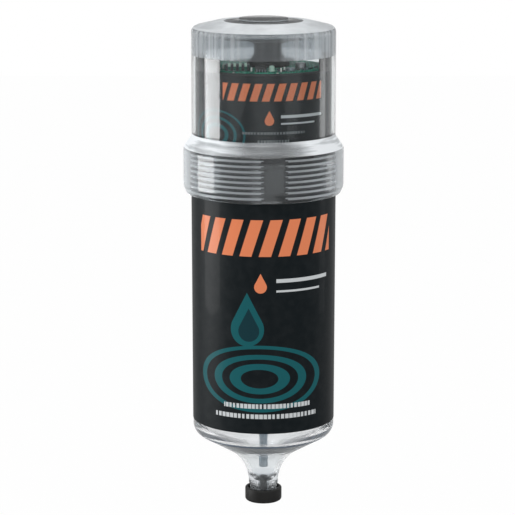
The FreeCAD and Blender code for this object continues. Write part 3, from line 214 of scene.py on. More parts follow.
class Print:
    # a printed film round a cylinder: across is the arc from the front, up is the height, in millimetres
    def __init__(self, name, radius):
        self.material, self.finish = newFinish(name)
        self.place = self.finish.place()
        x, y, z = self.finish.axes(self.place)
        self.across = x.math("ARCTAN2", x, 0 - y) * radius
        self.up = z * 1000.0
        paper = self.finish.noise(self.place, 240, 3)
        self.colour = self.finish.tint(paper.ramp(0.3, 0.8), inks.ground, inks.groundLight)
        self.seamAt = math.pi * radius
        self.ink = None

    def lay(self, mask, colour):
        self.colour = self.finish.tint(mask, self.colour, colour)
        self.ink = mask if self.ink is None else self.ink.most(mask)

    def box(self, left, right, low, high):
        return self.across.between(left, right) * self.up.between(low, high)

    def slantedBlocks(self, left, right, low, high, pitch, gap, lean):
        # a row of leaning blocks with bare slots between them
        run = ((self.across - self.up * lean) / pitch).fraction()
        return self.box(left, right, low, high) * run.between(gap / pitch, 1.0, 0.02)

    def dashes(self, left, right, low, high, pitch, seed):
        # plain bars of uneven length on one line
        step = self.across / pitch
        length = abs(step.math("SINE", step.floor() * 12.9898 + seed))
        run = step.fraction() - (length * 0.3 + 0.55)
        return self.box(left, right, low, high) * (run < 0.0)

    def ring(self, across, up, radius, width, squash=1.0):
        far = (self.across - across) * (self.across - across)
        tall = (self.up - up) / squash
        reach = (far + tall * tall) ** 0.5
        return reach.between(radius - width / 2, radius + width / 2, 0.12)

    def drop(self, across, up, radius):
        # a disc with a point above it
        side = abs(self.across - across)
        tall = self.up - up
        disc = ((side * side + tall * tall) ** 0.5) < radius
        cone = (side + tall * 0.52 < radius * 1.13) * (tall > radius * 0.35)
        return disc.most(cone)

    def done(self):
        finish = self.finish
        fine = finish.noise(self.place, 900)
        seam = abs(self.across).ramp(self.seamAt - 0.4, self.seamAt + 0.4)
        height = fine * 0.2 + self.ink * 0.25 + seam
        finish.surface(finish.principled({
            "Base Color": self.colour, "Roughness": fine * 0.12 + 0.4 - self.ink * 0.06,
            "Specular IOR Level": 0.2, "Coat Weight": self.ink * 0.12 + 0.05,
            "Normal": finish.bump(height, 0.16, 0.00005)}))
        return self.material


canisterPrint = Plan(
    radius=34.72, band=(-35.6, 38.5, 127.2, 144.7), pitch=9.3, slot=3.4, lean=0.32,
    dropAt=(-1.5, 112.6, 3.0), rules=((6.0, 36.0, 114.6, 116.4), (6.0, 30.0, 110.0, 111.0)),
    drip=(-8.0, 92.0, 8.2), ripples=((-2.0, 68.0), (12.0, 21.5, 31.0), (5.8, 4.6, 3.4), 0.5),
    lines=((-20.0, 24.0, 53.4, 55.6, 1.9, 0.4), (-25.0, 28.0, 48.4, 50.6, 2.1, 2.2)), lineInk="white")
drivePrint = Plan(
    radius=32.67, band=(-20.1, 30.8, 200.4, 208.6), pitch=5.6, slot=2.1, lean=0.32,
    dropAt=(2.6, 191.2, 2.2), rules=((8.0, 31.0, 192.4, 193.8), (8.0, 26.0, 189.4, 190.2)),
    ripples=((-24.0, 184.0), (6.0, 10.5, 15.0), (2.0, 1.5, 1.1), 0.75),
    lines=((-10.1, 20.0, 184.8, 186.0, 1.5, 1.3), (-3.0, 12.0, 181.1, 182.2, 1.4, 0.7)), lineInk="faint")


def labelPrint(name, plan):
    # generic print: a slotted band, a drop with rules, ripples and lines of plain bars
    film = Print(name, plan.radius)
    (across, up), radii, widths, squash = plan.ripples
    for radius, width in zip(radii, widths):
        film.lay(film.ring(across, up, radius, width, squash), inks.teal)
    if "drip" in plan:
        left, high, size = plan.drip
        film.lay(film.drop(left, high, size), inks.teal)
        film.lay(film.drop(left + size * 0.1, high - size * 0.1, size * 0.62), inks.tealDeep)
    blocks = film.slantedBlocks(*plan.band, plan.pitch, plan.slot, plan.lean)
    film.lay(blocks, inks.orange)
    film.lay(film.drop(*plan.dropAt), inks.orange)
    for rule in plan.rules:
        film.lay(film.box(*rule), inks.white)
    for line in plan.lines:
        film.lay(film.dashes(*line), inks[plan.lineInk])
    return film.done()


board = Plan(trackPitch=1.27, trackSides=(0.3, 0.62), padPitch=2.54, padReach=0.2,
             mask=rgb(8, 108, 88), copper=rgb(54, 158, 132), pad=rgb(196, 198, 190))


def boardFinish():
    # green mask over copper tracks, with tinned pads in rows
    material, finish = newFinish("board_green")
    place = finish.place()
    across, along = [axis * 1000.0 for axis in finish.axes(place, "XY")]
    cell = finish.noise(finish.stretched(place, (1, 0.2, 1)), 150, 1)
    crossing = finish.noise(finish.stretched(place, (0.2, 1, 1)), 150, 1)
    sides = board.trackSides
    upTracks = (across / board.trackPitch).fraction().between(*sides, 0.05) * (cell > 0.5)
    sideTracks = (along / board.trackPitch).fraction().between(*sides, 0.05) * (crossing > 0.52)
    tracks = upTracks.most(sideTracks)
    dotX = (across / board.padPitch).fraction() - 0.5
    dotY = (along / board.padPitch).fraction() - 0.5
    reach = (dotX * dotX + dotY * dotY) ** 0.5
    chosen = finish.noise(place, 320, 0) > 0.56
    pads = reach.between(-1.0, board.padReach, 0.02) * chosen
    colour = finish.tint(tracks, board.mask, board.copper)
    colour = finish.tint(pads, colour, board.pad)
    finish.surface(finish.principled({
        "Base Color": colour, "Roughness": 0.5 - pads * 0.2, "Metallic": pads * 0.8,
        "Specular IOR Level": 0.15, "Normal": finish.bump(tracks * 0.5 + pads, 0.5, 0.00008)}))
    return material


sleeve = Plan(low=157.6, bandLow=190.0, high=204.6, wrap=rgb(28, 30, 34), band=rgb(176, 120, 62),
              ends=rgb(170, 172, 174))


def sleeveFinish():
    # battery cell: a plain wrap with a lighter band and steel ends
    material, finish = newFinish("cell_sleeve")
    place = finish.place()
    up = finish.axes(place, "Z")[0] * 1000.0
    wrap = up.between(sleeve.low, sleeve.high)
    band = up.between(sleeve.bandLow, sleeve.high)
    cloud = finish.noise(place, 70)
    colour = finish.tint(band, sleeve.wrap, sleeve.band)
    colour = finish.tint(wrap, sleeve.ends, colour)
    finish.surface(finish.principled({
        "Base Color": colour, "Roughness": cloud * 0.15 + 0.28, "Metallic": 1 - wrap}))
    return material


def lensFinish():
    # signal lamp: milky green lens
    material, finish = newFinish("lamp_lens")
    cloud = finish.noise(finish.place(), 500)
    colour = finish.tint(cloud, rgb(176, 222, 196), rgb(222, 240, 230))
    finish.surface(finish.principled({
        "Base Color": colour, "Roughness": cloud * 0.1 + 0.12, "Coat Weight": cloud * 0.4 + 0.3}))
    return material


finishes = {
    "cover": clearPlastic("clear_cover", rgb(243, 246, 247), 0.16, 0.03),
    "canister": clearPlastic("clear_canister", rgb(251, 252, 252), 0.1, 0.02),
    "frosted": clearPlastic("frosted_neck", rgb(226, 229, 232), 0.2, 0.2, (0.04, 0.1)),
    # from the funnel to the thread, the clear plastic is split into zones whose haze and tint paint the
    # light and shade each zone shows; the collar, flare and thread haze is painted lighter towards the sides
    "funnel": clearPlastic("funnel_painted_haze", rgb(250, 252, 253), 0.2, 0.04, (0.1, 0.18)),
    "shoulder": clearPlastic("shoulder_painted_haze", rgb(254, 254, 255), 0.2, 0.08, (0.06, 0.14)),
    # painted shade: a grey tint darkens the clear dome, with painted haze lighter towards its sides
    "dome": clearPlastic("dome_painted_shade_and_haze", rgb(166, 173, 178), 0.8, 0.1, (0.05, 0.24), (3.0, 20.0), 0.34,
                         (3.0, 3.0, 0.03)),
    "top": clearPlastic("top_painted_haze", rgb(226, 228, 230), 0.3, 0.06, (0.1, 0.2)),
    # painted highlight: white haze covers most of the slope, strongest at its middle, for the light it
    # catches from above
    "slope": clearPlastic("slope_painted_highlight", rgb(248, 249, 250), 0.3, 0.1, (0.8, 0.5), (12.0, 32.0)),
    "collar": clearPlastic("collar_painted_haze", rgb(226, 229, 232), 0.3, 0.05, (0.0, 0.36), (29.0, 36.5)),
    "flare": clearPlastic("flare_painted_haze", rgb(236, 239, 242), 0.3, 0.1, (0.14, 0.9), (6.0, 28.0), 0.45),
    "thread": clearPlastic("thread_painted_haze", rgb(232, 240, 245), 0.3, 0.1, (0.44, 0.75)),
    # painted refraction line: an opaque grey-blue band on the ring's edge stands in for the dark line that
    # the clear wall refracts there
    "paintedRefractionLine": mouldedPlastic("painted_refraction_line", rgb(84, 96, 112), 0.4),
    "labelBack": mouldedPlastic("label_back", rgb(222, 224, 224), 0.6),
    "canisterLabel": labelPrint("canister_label_print", canisterPrint),
    "driveLabel": labelPrint("drive_label_print", drivePrint),
    "black": mouldedPlastic("black_plastic", rgb(32, 33, 34)),
    "cap": mouldedPlastic("cap_plastic", rgb(25, 25, 24), 0.5, 900, 0.2),
    "rubber": mouldedPlastic("soft_rubber", rgb(30, 32, 31), 0.6, 700, 0.25),
    "piston": mouldedPlastic("piston_plastic", rgb(58, 62, 64), 0.45),
    "gear": mouldedPlastic("gear_plastic", rgb(214, 210, 196), 0.4),
    "white": mouldedPlastic("white_plastic", rgb(226, 226, 220), 0.4),
    "switch": mouldedPlastic("switch_plastic", rgb(28, 34, 38), 0.4),
    "steel": turnedMetal("steel", rgb(150, 158, 166)),
    "rod": turnedMetal("rod_steel", rgb(126, 140, 150), 0.34),
    "bronze": turnedMetal("bronze", rgb(170, 126, 72), 0.35),
    "magnet": turnedMetal("magnet", rgb(70, 70, 72), 0.5),
    "aluminium": turnedMetal("can_aluminium", rgb(190, 192, 194), 0.3),
    "sleeve": sleeveFinish(),
    "lens": lensFinish(),
    "board": boardFinish(),
}
print("finishes made:", len(finishes))


# Modelling helpers

def painted(bm, material):
    for face in bm.faces:
        face.material_index = material
    return bm


def closed(bm, points):
    # the edges of an outline, apart from one that would lie on the axis
    for one, two in zip(points, points[1:] + points[:1]):
        if one.co.xy.length > 0 or two.co.xy.length > 0:
            bm.edges.new((one, two))


def spun(bm, angle, steps, **more):
    bmesh.ops.spin(bm, geom=bm.verts[:] + bm.edges[:], cent=(0, 0, 0), axis=upright, angle=angle,
                   steps=steps, **more)


def capped(bm):
    # closes the ends of an outline that was spun part of the way
    bmesh.ops.holes_fill(bm, edges=[edge for edge in bm.edges if edge.is_boundary], sides=0)
    bmesh.ops.recalc_face_normals(bm, faces=bm.faces)


def eased(bm, size, crease=None):
    # rounds every edge, or those that are sharper than the crease
    edges = [edge for edge in bm.edges
             if crease is None or edge.calc_face_angle(0.0) > math.radians(crease)]
    bmesh.ops.bevel(bm, geom=edges, offset=size * mm, offset_type="OFFSET", segments=2,
                    profile=0.5, affect="EDGES", material=-1, clamp_overlap=True)


def swung(bm, angle):
    bmesh.ops.rotate(bm, verts=bm.verts, cent=(0, 0, 0), matrix=Matrix.Rotation(angle, 3, "Z"))


def meshOf(bm, name="spare"):
    # hands a shape over to a mesh
    mesh = bpy.data.meshes.new(name)
    bm.to_mesh(mesh)
    bm.free()
    return mesh


def linked(name, data):
    made = bpy.data.objects.new(name, data)
    scene.collection.objects.link(made)
    return made


def turned(corners, steps=144, centre=(0.0, 0.0), material=0):
    # an outline of (radius, height, rounding) spun about an upright axis; one that ends on the
    # axis stays open there
    bm = bmesh.new()
    points = [bm.verts.new((corner[0] * mm, 0, corner[1] * mm)) for corner in corners]
    closed(bm, points)
    rounded = {}
    for point, corner in zip(points, corners):
        if len(corner) > 2:
            rounded.setdefault(corner[2], []).append(point)
    for size, picked in rounded.items():
        bmesh.ops.bevel(bm, geom=picked, offset=size * mm, offset_type="OFFSET", segments=4,
                        profile=0.5, affect="VERTICES", material=-1, clamp_overlap=True)
    spun(bm, math.tau, steps, use_merge=True)
    bmesh.ops.remove_doubles(bm, verts=bm.verts, dist=0.002 * mm)
    bmesh.ops.recalc_face_normals(bm, faces=bm.faces)
    bmesh.ops.translate(bm, verts=bm.verts, vec=(centre[0] * mm, centre[1] * mm, 0))
    return painted(bm, material)


def boxed(low, high, edge=0.15, material=0):
    # a block between two corners with rounded edges
    bm = bmesh.new()
    bmesh.ops.create_cube(bm, size=1)
    low, high = Vector(low), Vector(high)
    bmesh.ops.scale(bm, verts=bm.verts, vec=(high - low) * mm)
    bmesh.ops.translate(bm, verts=bm.verts, vec=(high + low) / 2 * mm)
    if edge:
        eased(bm, edge)
    return painted(bm, material)


def helix(corners, start, pitch, turns, stepsATurn=36):
    # a closed outline of (radius, height) swept up a helix, with closed ends
    bm = bmesh.new()
    points = [bm.verts.new((radius * mm, 0, (start + height) * mm)) for radius, height in corners]
    closed(bm, points)
    steps = round(stepsATurn * turns)
    spun(bm, math.tau * turns, steps, dvec=(0, 0, pitch * turns * mm / steps))
    capped(bm)
    return bm


def poured(*parts):
    # several shapes in one mesh
    whole = bmesh.new()
    for part in parts:
        spare = meshOf(part)
        whole.from_mesh(spare)
        bpy.data.meshes.remove(spare)
    return whole


def shaded(bm, crease=32):
    for edge in bm.edges:
        edge.smooth = edge.calc_face_angle(0.0) < math.radians(crease)
    for face in bm.faces:
        face.smooth = True
    return bm


def piece(name, bm, looks, body, replaced=(), crease=32):
    # one finished object at the origin, riding on its body
    mesh = meshOf(shaded(bm, crease), name)
    for look in looks:
        mesh.materials.append(finishes[look])
    made = linked(name, mesh)
    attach(made, body)
    if replaced:
        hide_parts(*replaced)


def copied(node, crease=32, edge=0.0):
    # a CAD node's own shape, merged so that it can be shaded smooth, with its sharp edges eased
    bm = bmesh.new()
    bm.from_mesh(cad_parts[node].data)
    bmesh.ops.remove_doubles(bm, verts=bm.verts, dist=0.001 * mm)
    flat = math.radians(0.4)
    bmesh.ops.dissolve_limit(bm, angle_limit=flat, verts=bm.verts, edges=bm.edges)
    if edge:
        eased(bm, edge, crease)
    return painted(bm, 0)


def cut(bm, cutters):
    # takes the cutters away from a shape one by one, each with an exact boolean
    for cutter in cutters:
        meshes = [meshOf(source) for source in (bm, cutter)]
        whole, tool = [linked("cutting", mesh) for mesh in meshes]
        modifier = whole.modifiers.new("cut", "BOOLEAN")
        modifier.operation, modifier.solver, modifier.object = "DIFFERENCE", "EXACT", tool
        bm = bmesh.new()
        bm.from_object(whole, bpy.context.evaluated_depsgraph_get())
        for made, mesh in zip((whole, tool), meshes):
            bpy.data.objects.remove(made)
            bpy.data.meshes.remove(mesh)
    return bm


def arc(centre, radius, start, end, count=8):
    # corners along a round stretch of an outline
    angles = [math.radians(start + (end - start) * step / count) for step in range(count + 1)]
    return [(centre[0] + radius * math.cos(angle), centre[1] + radius * math.sin(angle)) for angle in angles]


def sector(inner, outer, low, high, middle, spread, edge=0.2, steps=24):
    # a block curved round the axis, as wide as spread degrees
    bm = bmesh.new()
    turn = Matrix.Rotation(math.radians(middle - spread / 2), 3, "Z")
    corners = ((inner, low), (outer, low), (outer, high), (inner, high))
    points = [bm.verts.new(turn @ Vector((radius * mm, 0, height * mm))) for radius, height in corners]
    closed(bm, points)
    spun(bm, math.radians(spread), steps)
    capped(bm)
    if edge:
        eased(bm, edge, 40)
    return bm


def pillar(x, y, half, low, high, edge, material=0):
    # a square block that stands round a point
    return boxed((x - half, y - half, low), (x + half, y + half, high), edge, material=material)


def leg(x, y, reach, half, low, high, edge):
    # a metal leg that stands out along y, as far as reach says from its side of the part
    near, far = sorted(y + part for part in reach)
    return boxed((x - half, near, low), (x + half, far, high), edge, material=1)


def crossAt(x, y, long, wide, low, high):
    # two cutters that cross over a point
    return [boxed((x - across, y - along, low), (x + across, y + along, high), 0)
            for across, along in ((long, wide), (wide, long))]


def lowOf(node):
    return [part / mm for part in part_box(node)[0]]


def highOf(node):
    return [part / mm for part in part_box(node)[1]]


def middleOf(node):
    return [(low + high) / 2 for low, high in zip(lowOf(node), highOf(node))]


ridge = Plan(crestFrom=0.26, crestTo=0.42, end=0.68)  # shares of the pitch


def ridges(root, crest, low, count, pitch):
    # corners of plain thread ridges, from the lowest up
    corners = []
    for number in range(count):
        foot = low + number * pitch
        corners += [(root, foot), (crest, foot + pitch * ridge.crestFrom),
                    (crest, foot + pitch * ridge.crestTo), (root, foot + pitch * ridge.end)]
    return corners


def flattened(bm, radius, low, high, middle, spread, near=1.2):
    # takes the thread away in one sector, as the split of the mould does, near the radius given
    for vert in bm.verts:
        angle = math.degrees(math.atan2(vert.co.y, vert.co.x)) - middle
        angle = (angle + 180) % 360 - 180
        reach = math.hypot(vert.co.x, vert.co.y)
        close = abs(reach - radius * mm) < near * mm
        if abs(angle) < spread / 2 and low * mm < vert.co.z < high * mm and close:
            vert.co.x *= radius * mm / reach
            vert.co.y *= radius * mm / reach


# Clear mouldings

outlet = Plan(threadRadius=6.58, threadRoot=6.0, threadLow=0.4, threadTop=6.5, threadPitch=1.34,
              threadTurns=4, neckRadius=7.2, bore=2.6, boreTop=9.0, throatTop=12.0)
funnel = Plan(flareHeight=7.4, flareRadius=20.0, slope=30.0, ringRadius=31.6, lineRadius=31.3,
              lineWidth=0.55, lineDepth=0.2, lineRise=0.7, frostTop=13.0, hazeBelow=3.0, wall=2.4,
              shoulder=5.0, innerRise=4.0, innerShare=0.8)
wall = Plan(hazeTop=40.0, low=34.35, high=34.6, thick=2.4, bandLow=153.5, bandHigh=170.9, bandCrest=35.9,
            bandRoot=35.5, rim=175.3, threadLow=154.1, threadPitch=2.5, threadTurns=6,
            splitMiddle=-82.4, splitSpread=18.0)
lugs = Plan(count=3, middle=-70.8, spread=43.5, play=0.8, outer=35.5, height=3.9)
notch = Plan(inner=30.0, outer=38.0, above=3.0)  # the cutter for each lug's place in the rim


def makeCanister():
    # outlet thread, trumpet curve, cone, ring line (a low ridge, painted with a dark refraction line),
    # shoulder, wall and thread band, then back inside
    steep = math.tan(math.radians(funnel.slope))
    centre = (outlet.neckRadius + funnel.flareRadius, funnel.flareHeight)
    outerFlare = arc(centre, funnel.flareRadius, 180, 180 - 90 + funnel.slope, 14)
    foot = outerFlare[-1]
    ringUp = foot[1] + (funnel.ringRadius - foot[0]) * steep
    run = wall.low - funnel.ringRadius
    bend = (run ** 2 + funnel.shoulder ** 2) / (2 * run)
    top = (wall.low - bend, ringUp + funnel.shoulder)
    start = math.degrees(math.atan2(-funnel.shoulder, bend - run))
    outerShoulder = arc(top, bend, start, 0, 8)
    inside = funnel.flareRadius + funnel.wall
    throat = math.degrees(math.asin((outlet.throatTop - centre[1]) / inside))
    innerFlare = arc(centre, inside, 180 - 90 + funnel.slope, 180 - throat, 12)
    innerWall = wall.low - wall.thick
    innerRing = funnel.ringRadius - funnel.innerShare * funnel.wall
    innerRingUp = innerFlare[0][1] + (innerRing - innerFlare[0][0]) * steep
    lines = [funnel.lineRadius + funnel.lineWidth * step for step in (-0.5, 0.0, 0.5)]
    heights = [ringUp - (funnel.ringRadius - line) * steep for line in lines]
    corners = [
        (outlet.bore, 0.0, 0.3), (outlet.threadRoot, 0.0),
        *ridges(outlet.threadRoot, outlet.threadRadius, outlet.threadLow,
                outlet.threadTurns, outlet.threadPitch),
        (outlet.threadRoot, outlet.threadTop), (outlet.neckRadius, outlet.threadTop + 0.3, 0.3),
        *outerFlare,
        (lines[0], heights[0]), (lines[1], heights[1] + funnel.lineDepth), (lines[2], heights[2]),
        *outerShoulder,
        (wall.high, wall.bandLow),
        *ridges(wall.bandRoot, wall.bandCrest, wall.threadLow, wall.threadTurns, wall.threadPitch),
        (wall.bandRoot, wall.bandHigh), (wall.high, wall.bandHigh),
        (wall.high, wall.rim, 0.4), (wall.high - wall.thick, wall.rim, 0.4),
        (wall.high - wall.thick, wall.bandLow),
        (innerWall, innerRingUp + funnel.innerRise, 2.5), (innerRing, innerRingUp, 1.5),
        *innerFlare,
        (outlet.bore + 0.3, outlet.boreTop, 0.4)]
    bm = turned(corners, 180)
    flattened(bm, wall.bandRoot, wall.bandLow + 0.4, wall.bandHigh - 0.2,
              wall.splitMiddle, wall.splitSpread)
    notches = []
    for number in range(lugs.count):
        turn = lugs.middle + 360 / lugs.count * number
        notches.append(sector(notch.inner, notch.outer, wall.rim - lugs.height,
                              wall.rim + notch.above, turn, lugs.spread + lugs.play, 0))
    bm = cut(bm, notches)
    for face in bm.faces:
        middle = face.calc_center_median() / mm
        # faces on the ring's edge get the painted refraction line
        line = middle.xy.length > lines[0] and heights[0] < middle.z < ringUp + funnel.lineRise
        # the shoulder and funnel zones below these heights get clear plastic with painted haze, as painted
        # light
        looks = (middle.z < wall.hazeTop, middle.z < heights[0] - funnel.hazeBelow,
                 middle.z < funnel.frostTop, line)
        face.material_index = max(number + 1 if look else 0 for number, look in enumerate(looks))
    looks = ["canister", "shoulder", "funnel", "frosted", "paintedRefractionLine"]
    piece("canister_shell", bm, looks, "canister", ["canister"], 50)


cover = Plan(collarLow=152.6, collarRadius=38.5, chamferDepth=1.5, chamferHeight=3.4, shoulder=174.4,
             flare=5.6, radius=34.5, wall=1.25, domeLow=219.0, corner=232.01, cornerRound=2.2,
             plateau=22.8, plateauUp=234.8, padEdge=19.0, disc=12.0, discUp=236.2,
             ceiling=232.4, ceilingEdge=229.8, bore=36.1, boreStep=175.45,
             threadDepth=0.3, threadLow=154.6, threadTurns=8, threadPitch=2.5)


def makeCover():
    inner = cover.radius - cover.wall
    corners = [
        (cover.bore, cover.collarLow, 0.3),
        (cover.collarRadius - cover.chamferDepth, cover.collarLow, 0.5),
        (cover.collarRadius, cover.collarLow + cover.chamferHeight, 0.9),
        (cover.collarRadius, cover.shoulder, 0.8),
        (cover.radius, cover.shoulder + cover.flare, 1.2),
        (cover.radius, cover.domeLow),
        (cover.radius, cover.corner, cover.cornerRound),
        (cover.plateau, cover.plateauUp, 0.9),
        (cover.padEdge, cover.plateauUp),
        (cover.disc, cover.plateauUp, 0.3),
        (cover.disc, cover.discUp, 0.5),
        (0, cover.discUp),
        (0, cover.ceiling),
        (cover.padEdge, cover.ceiling),
        (cover.plateau - cover.wall / 2, cover.ceiling, 0.8),
        (inner, cover.ceilingEdge, 2.6),
        (inner, cover.domeLow),
        (inner, cover.boreStep + cover.flare, 1.0),
        (cover.bore, cover.boreStep, 0.5),
    ]
    grooves = ridges(cover.bore, cover.bore + cover.threadDepth, cover.threadLow,
                     cover.threadTurns, cover.threadPitch)
    bm = turned(corners + list(reversed(grooves)), 180)
    flattened(bm, cover.bore, cover.threadLow - 0.2, cover.boreStep - 1,
              wall.splitMiddle, wall.splitSpread)
    # each zone of the cover is the clear plastic with its own painted light and shade: the dome painted
    # darker, the slope painted with a highlight, the collar, thread and flare with haze painted lighter
    # towards the sides
    for face in bm.faces:
        middle = face.calc_center_median() / mm
        groove = cover.threadLow < middle.z < cover.boreStep and face.normal.z > -0.1
        side = middle.xy.length > cover.bore + 1 and middle.z < cover.shoulder + 0.2
        looks = (side, groove and 0.1 < middle.xy.length - cover.bore < cover.threadDepth + 0.05,
                 cover.shoulder + 0.2 < middle.z < cover.shoulder + cover.flare + 1,
                 middle.z > cover.domeLow, middle.z > cover.corner - 0.5,
                 middle.z > cover.ceiling - 0.1 and middle.xy.length < cover.padEdge)
        face.material_index = max(number + 1 if look else 0 for number, look in enumerate(looks))
    looks = ["cover", "collar", "thread", "flare", "dome", "slope", "top"]
    piece("drive_cover_shell", bm, looks, "drive_cover", ["drive_cover"], 50)


makeCanister()
makeCover()
print("clear mouldings made")


# Labels, housing, cap and soft parts

label = Plan(film=0.15, lift=0.02, top=153.3)  # the top is the foot of the thread band


def makeLabels():
    # the film on the canister leans with its wall, the one on the drive is straight
    film = label.film
    for node, look in (("canister_label", "canisterLabel"), ("drive_label", "driveLabel")):
        low, high = lowOf(node), highOf(node)
        if node == "canister_label":
            outer = wall.low + film + label.lift, wall.high + film + label.lift
            top = label.top
        else:
            outer, top = (high[0], high[0]), high[2]
        bm = turned([(outer[0] - film, low[2]), (outer[0], low[2]),
                     (outer[1], top), (outer[1] - film, top)], 180)
        for face in bm.faces:
            face.material_index = int(face.normal.xy.dot(face.calc_center_median().xy) < 0)
        piece(node + "_film", bm, [look, "labelBack"], "canister", [node])


housing = Plan(radius=31.6, bore=29.4, low=128.0, top=213.0, floor=130.5, hub=9.0, hubLow=125.0,
               hubTop=131.5, bush=6.6, upper=32.5, upperBore=30.3, step=178.2, innerStep=180.4,
               ribs=24, ribHalf=0.6, ribDrop=1.0, ribSink=0.4, ribShort=1.4, lugSink=1.1,
               sideTop=219.0, sideSink=0.8, sides=((-165.5, 69.0), (-6.5, 53.0)))


def makeHousing():
    shell = turned([
        (housing.bush, housing.hubLow, 0.3), (housing.hub, housing.hubLow, 0.6),
        (housing.hub, housing.low, 0.4), (housing.radius, housing.low, 0.8),
        (housing.radius, housing.step, 0.3), (housing.upper, housing.step, 0.4),
        (housing.upper, housing.top, 0.4), (housing.upperBore, housing.top, 0.3),
        (housing.upperBore, housing.innerStep, 0.3), (housing.bore, housing.innerStep, 0.3),
        (housing.bore, housing.floor, 0.6), (housing.hub, housing.floor, 0.3),
        (housing.hub, housing.hubTop, 0.3), (housing.bush, housing.hubTop, 0.3)], 180)
    parts = [shell]
    for middle, spread in housing.sides:
        parts.append(sector(housing.upperBore, housing.upper, housing.top - housing.sideSink,
                            housing.sideTop, middle, spread, 0.3, 48))
    for number in range(lugs.count):
        turn = lugs.middle + 360 / lugs.count * number
        parts.append(sector(housing.bore + housing.lugSink, lugs.outer,
                            wall.rim - lugs.height, wall.rim, turn, lugs.spread, 0.35))
    for number in range(housing.ribs):
        rib = boxed((housing.hub + 1, -housing.ribHalf, housing.low - housing.ribDrop),
                    (housing.radius - housing.ribShort, housing.ribHalf,
                     housing.low + housing.ribSink), 0.2)
        swung(rib, math.tau * number / housing.ribs)
        parts.append(rib)
    piece("drive_housing_shell", poured(*parts), ["black"], "canister", ["drive_housing"])


cap = Plan(radius=9.0, skirt=4.7, bore=7.48, floorTop=-0.1, floorLow=-2.0, bossRadius=3.5, bossLow=-3.4,
           stem=1.9, headRadius=2.3, headLow=8.2, headHigh=10.3)


def makeCap():
    bm = turned([
        (0, cap.bossLow), (cap.bossRadius, cap.bossLow, 0.5), (cap.bossRadius, cap.floorLow, 0.4),
        (cap.radius, cap.floorLow, 1.3), (cap.radius, cap.skirt, 0.7), (cap.bore, cap.skirt, 0.4),
        (cap.bore, cap.floorTop, 0.5), (cap.stem, cap.floorTop, 0.4), (cap.stem, cap.headLow, 0.2),
        (cap.headRadius, cap.headLow, 0.3),
        (cap.headRadius, cap.headHigh, 1.3), (0, cap.headHigh)], 120)
    piece("outlet_plug_cap", bm, ["cap"], "outlet_cap", ["outlet_cap"])


post = Plan(waist=6.6, head=9.8, foot=10.2, headHeight=1.6, footHeight=1.8, flare=3.0, recess=5.0,
            recessDepth=0.8, x=2.2)
seal = Plan(radius=33.65, height=176.3, sectionRadius=0.85, steps=16)


def makeSoftParts():
    low, high = lowOf("rubber_post")[2], highOf("rubber_post")[2]
    bm = turned([
        (0, low), (post.foot, low, 0.3), (post.foot, low + post.footHeight, 0.5),
        (post.waist, low + post.footHeight + post.flare, 2.2),
        (post.waist, high - post.headHeight - post.flare, 2.2),
        (post.head, high - post.headHeight, 0.5), (post.head, high, 0.5),
        (post.recess, high, 0.2), (post.recess, high - post.recessDepth, 0.2),
        (0, high - post.recessDepth)], 120, (post.x, 0))
    piece("rubber_post_spool", bm, ["rubber"], "canister", ["rubber_post"])
    base, top = lowOf("cover_cushion"), highOf("cover_cushion")
    pad = turned([(0, base[2]), (top[0], base[2], 0.5), (top[0], top[2], 0.2), (0, top[2])], 120)
    piece("cushion_pad", pad, ["rubber"], "drive_cover", ["cover_cushion"])
    last = 360 - 360 / seal.steps
    ring = turned(arc((seal.radius, seal.height), seal.sectionRadius, 0, last, seal.steps - 1), 144)
    piece("cover_seal_ring", ring, ["rubber"], "cover_seal", ["cover_seal"])


makeLabels()
makeHousing()
makeCap()
makeSoftParts()
print("housing, labels, cap and soft parts made")


# Lead screw and piston

screw = Plan(core=2.45, crest=3.0, sink=0.1, threadLow=37.0, pitch=2.0, crestFrom=0.5, crestTo=0.95,
             ridgeEnd=1.5, runIn=0.5, runOut=1.0, tail=2.15, tailEnd=15.9, chamfer=0.6, shoulder=4.6,
             shoulderLow=123.4, shoulderHigh=124.9, hexRadius=3.1, hexTop=133.9)


def makeScrew():
    core = turned([
        (0, screw.tailEnd), (screw.tail, screw.tailEnd, screw.chamfer),
        (screw.tail, screw.threadLow - screw.runOut), (screw.core, screw.threadLow),
        (screw.core, screw.shoulderLow), (screw.shoulder, screw.shoulderLow, 0.2),
        (screw.shoulder, screw.shoulderHigh, 0.2), (0, screw.shoulderHigh)], 64)
    length = screw.shoulderLow - screw.threadLow - screw.pitch - screw.runOut
    foot, base = screw.core - screw.sink, screw.shoulderHigh - screw.sink
    thread = helix(((foot, 0.0), (screw.crest, screw.crestFrom),
                    (screw.crest, screw.crestTo), (foot, screw.ridgeEnd)),
                   screw.threadLow + screw.runIn, screw.pitch, length / screw.pitch, 24)
    head = turned([(0, base), (screw.hexRadius, base), (screw.hexRadius, screw.hexTop, 0.4),
                   (0, screw.hexTop)], 6)
    swung(head, math.radians(30))
    piece("lead_screw_turned", poured(core, thread, head), ["rod"], "lead_screw", ["lead_screw"])


pistonParts = (("piston", "piston", "piston_plastic"), ("piston_ring_lower", "rubber", "soft_rubber"),
               ("piston_ring_upper", "rubber", "soft_rubber"), ("piston_nut", "bronze", "bronze"))


def makePistonParts():
    for node, look, slot in pistonParts:
        piece(node + "_smooth", copied(node, 30), [look], "piston", [node], 30)


makeScrew()
makePistonParts()
print("lead screw and piston made")


# Circuit board and what stands on it

boardTop = highOf("circuit_board")[2]
boardScrews = Plan(count=3, first=-60.0, circle=25.0, slotLong=1.5, slotWide=0.28, slotLow=0.8, slotHigh=2.0)


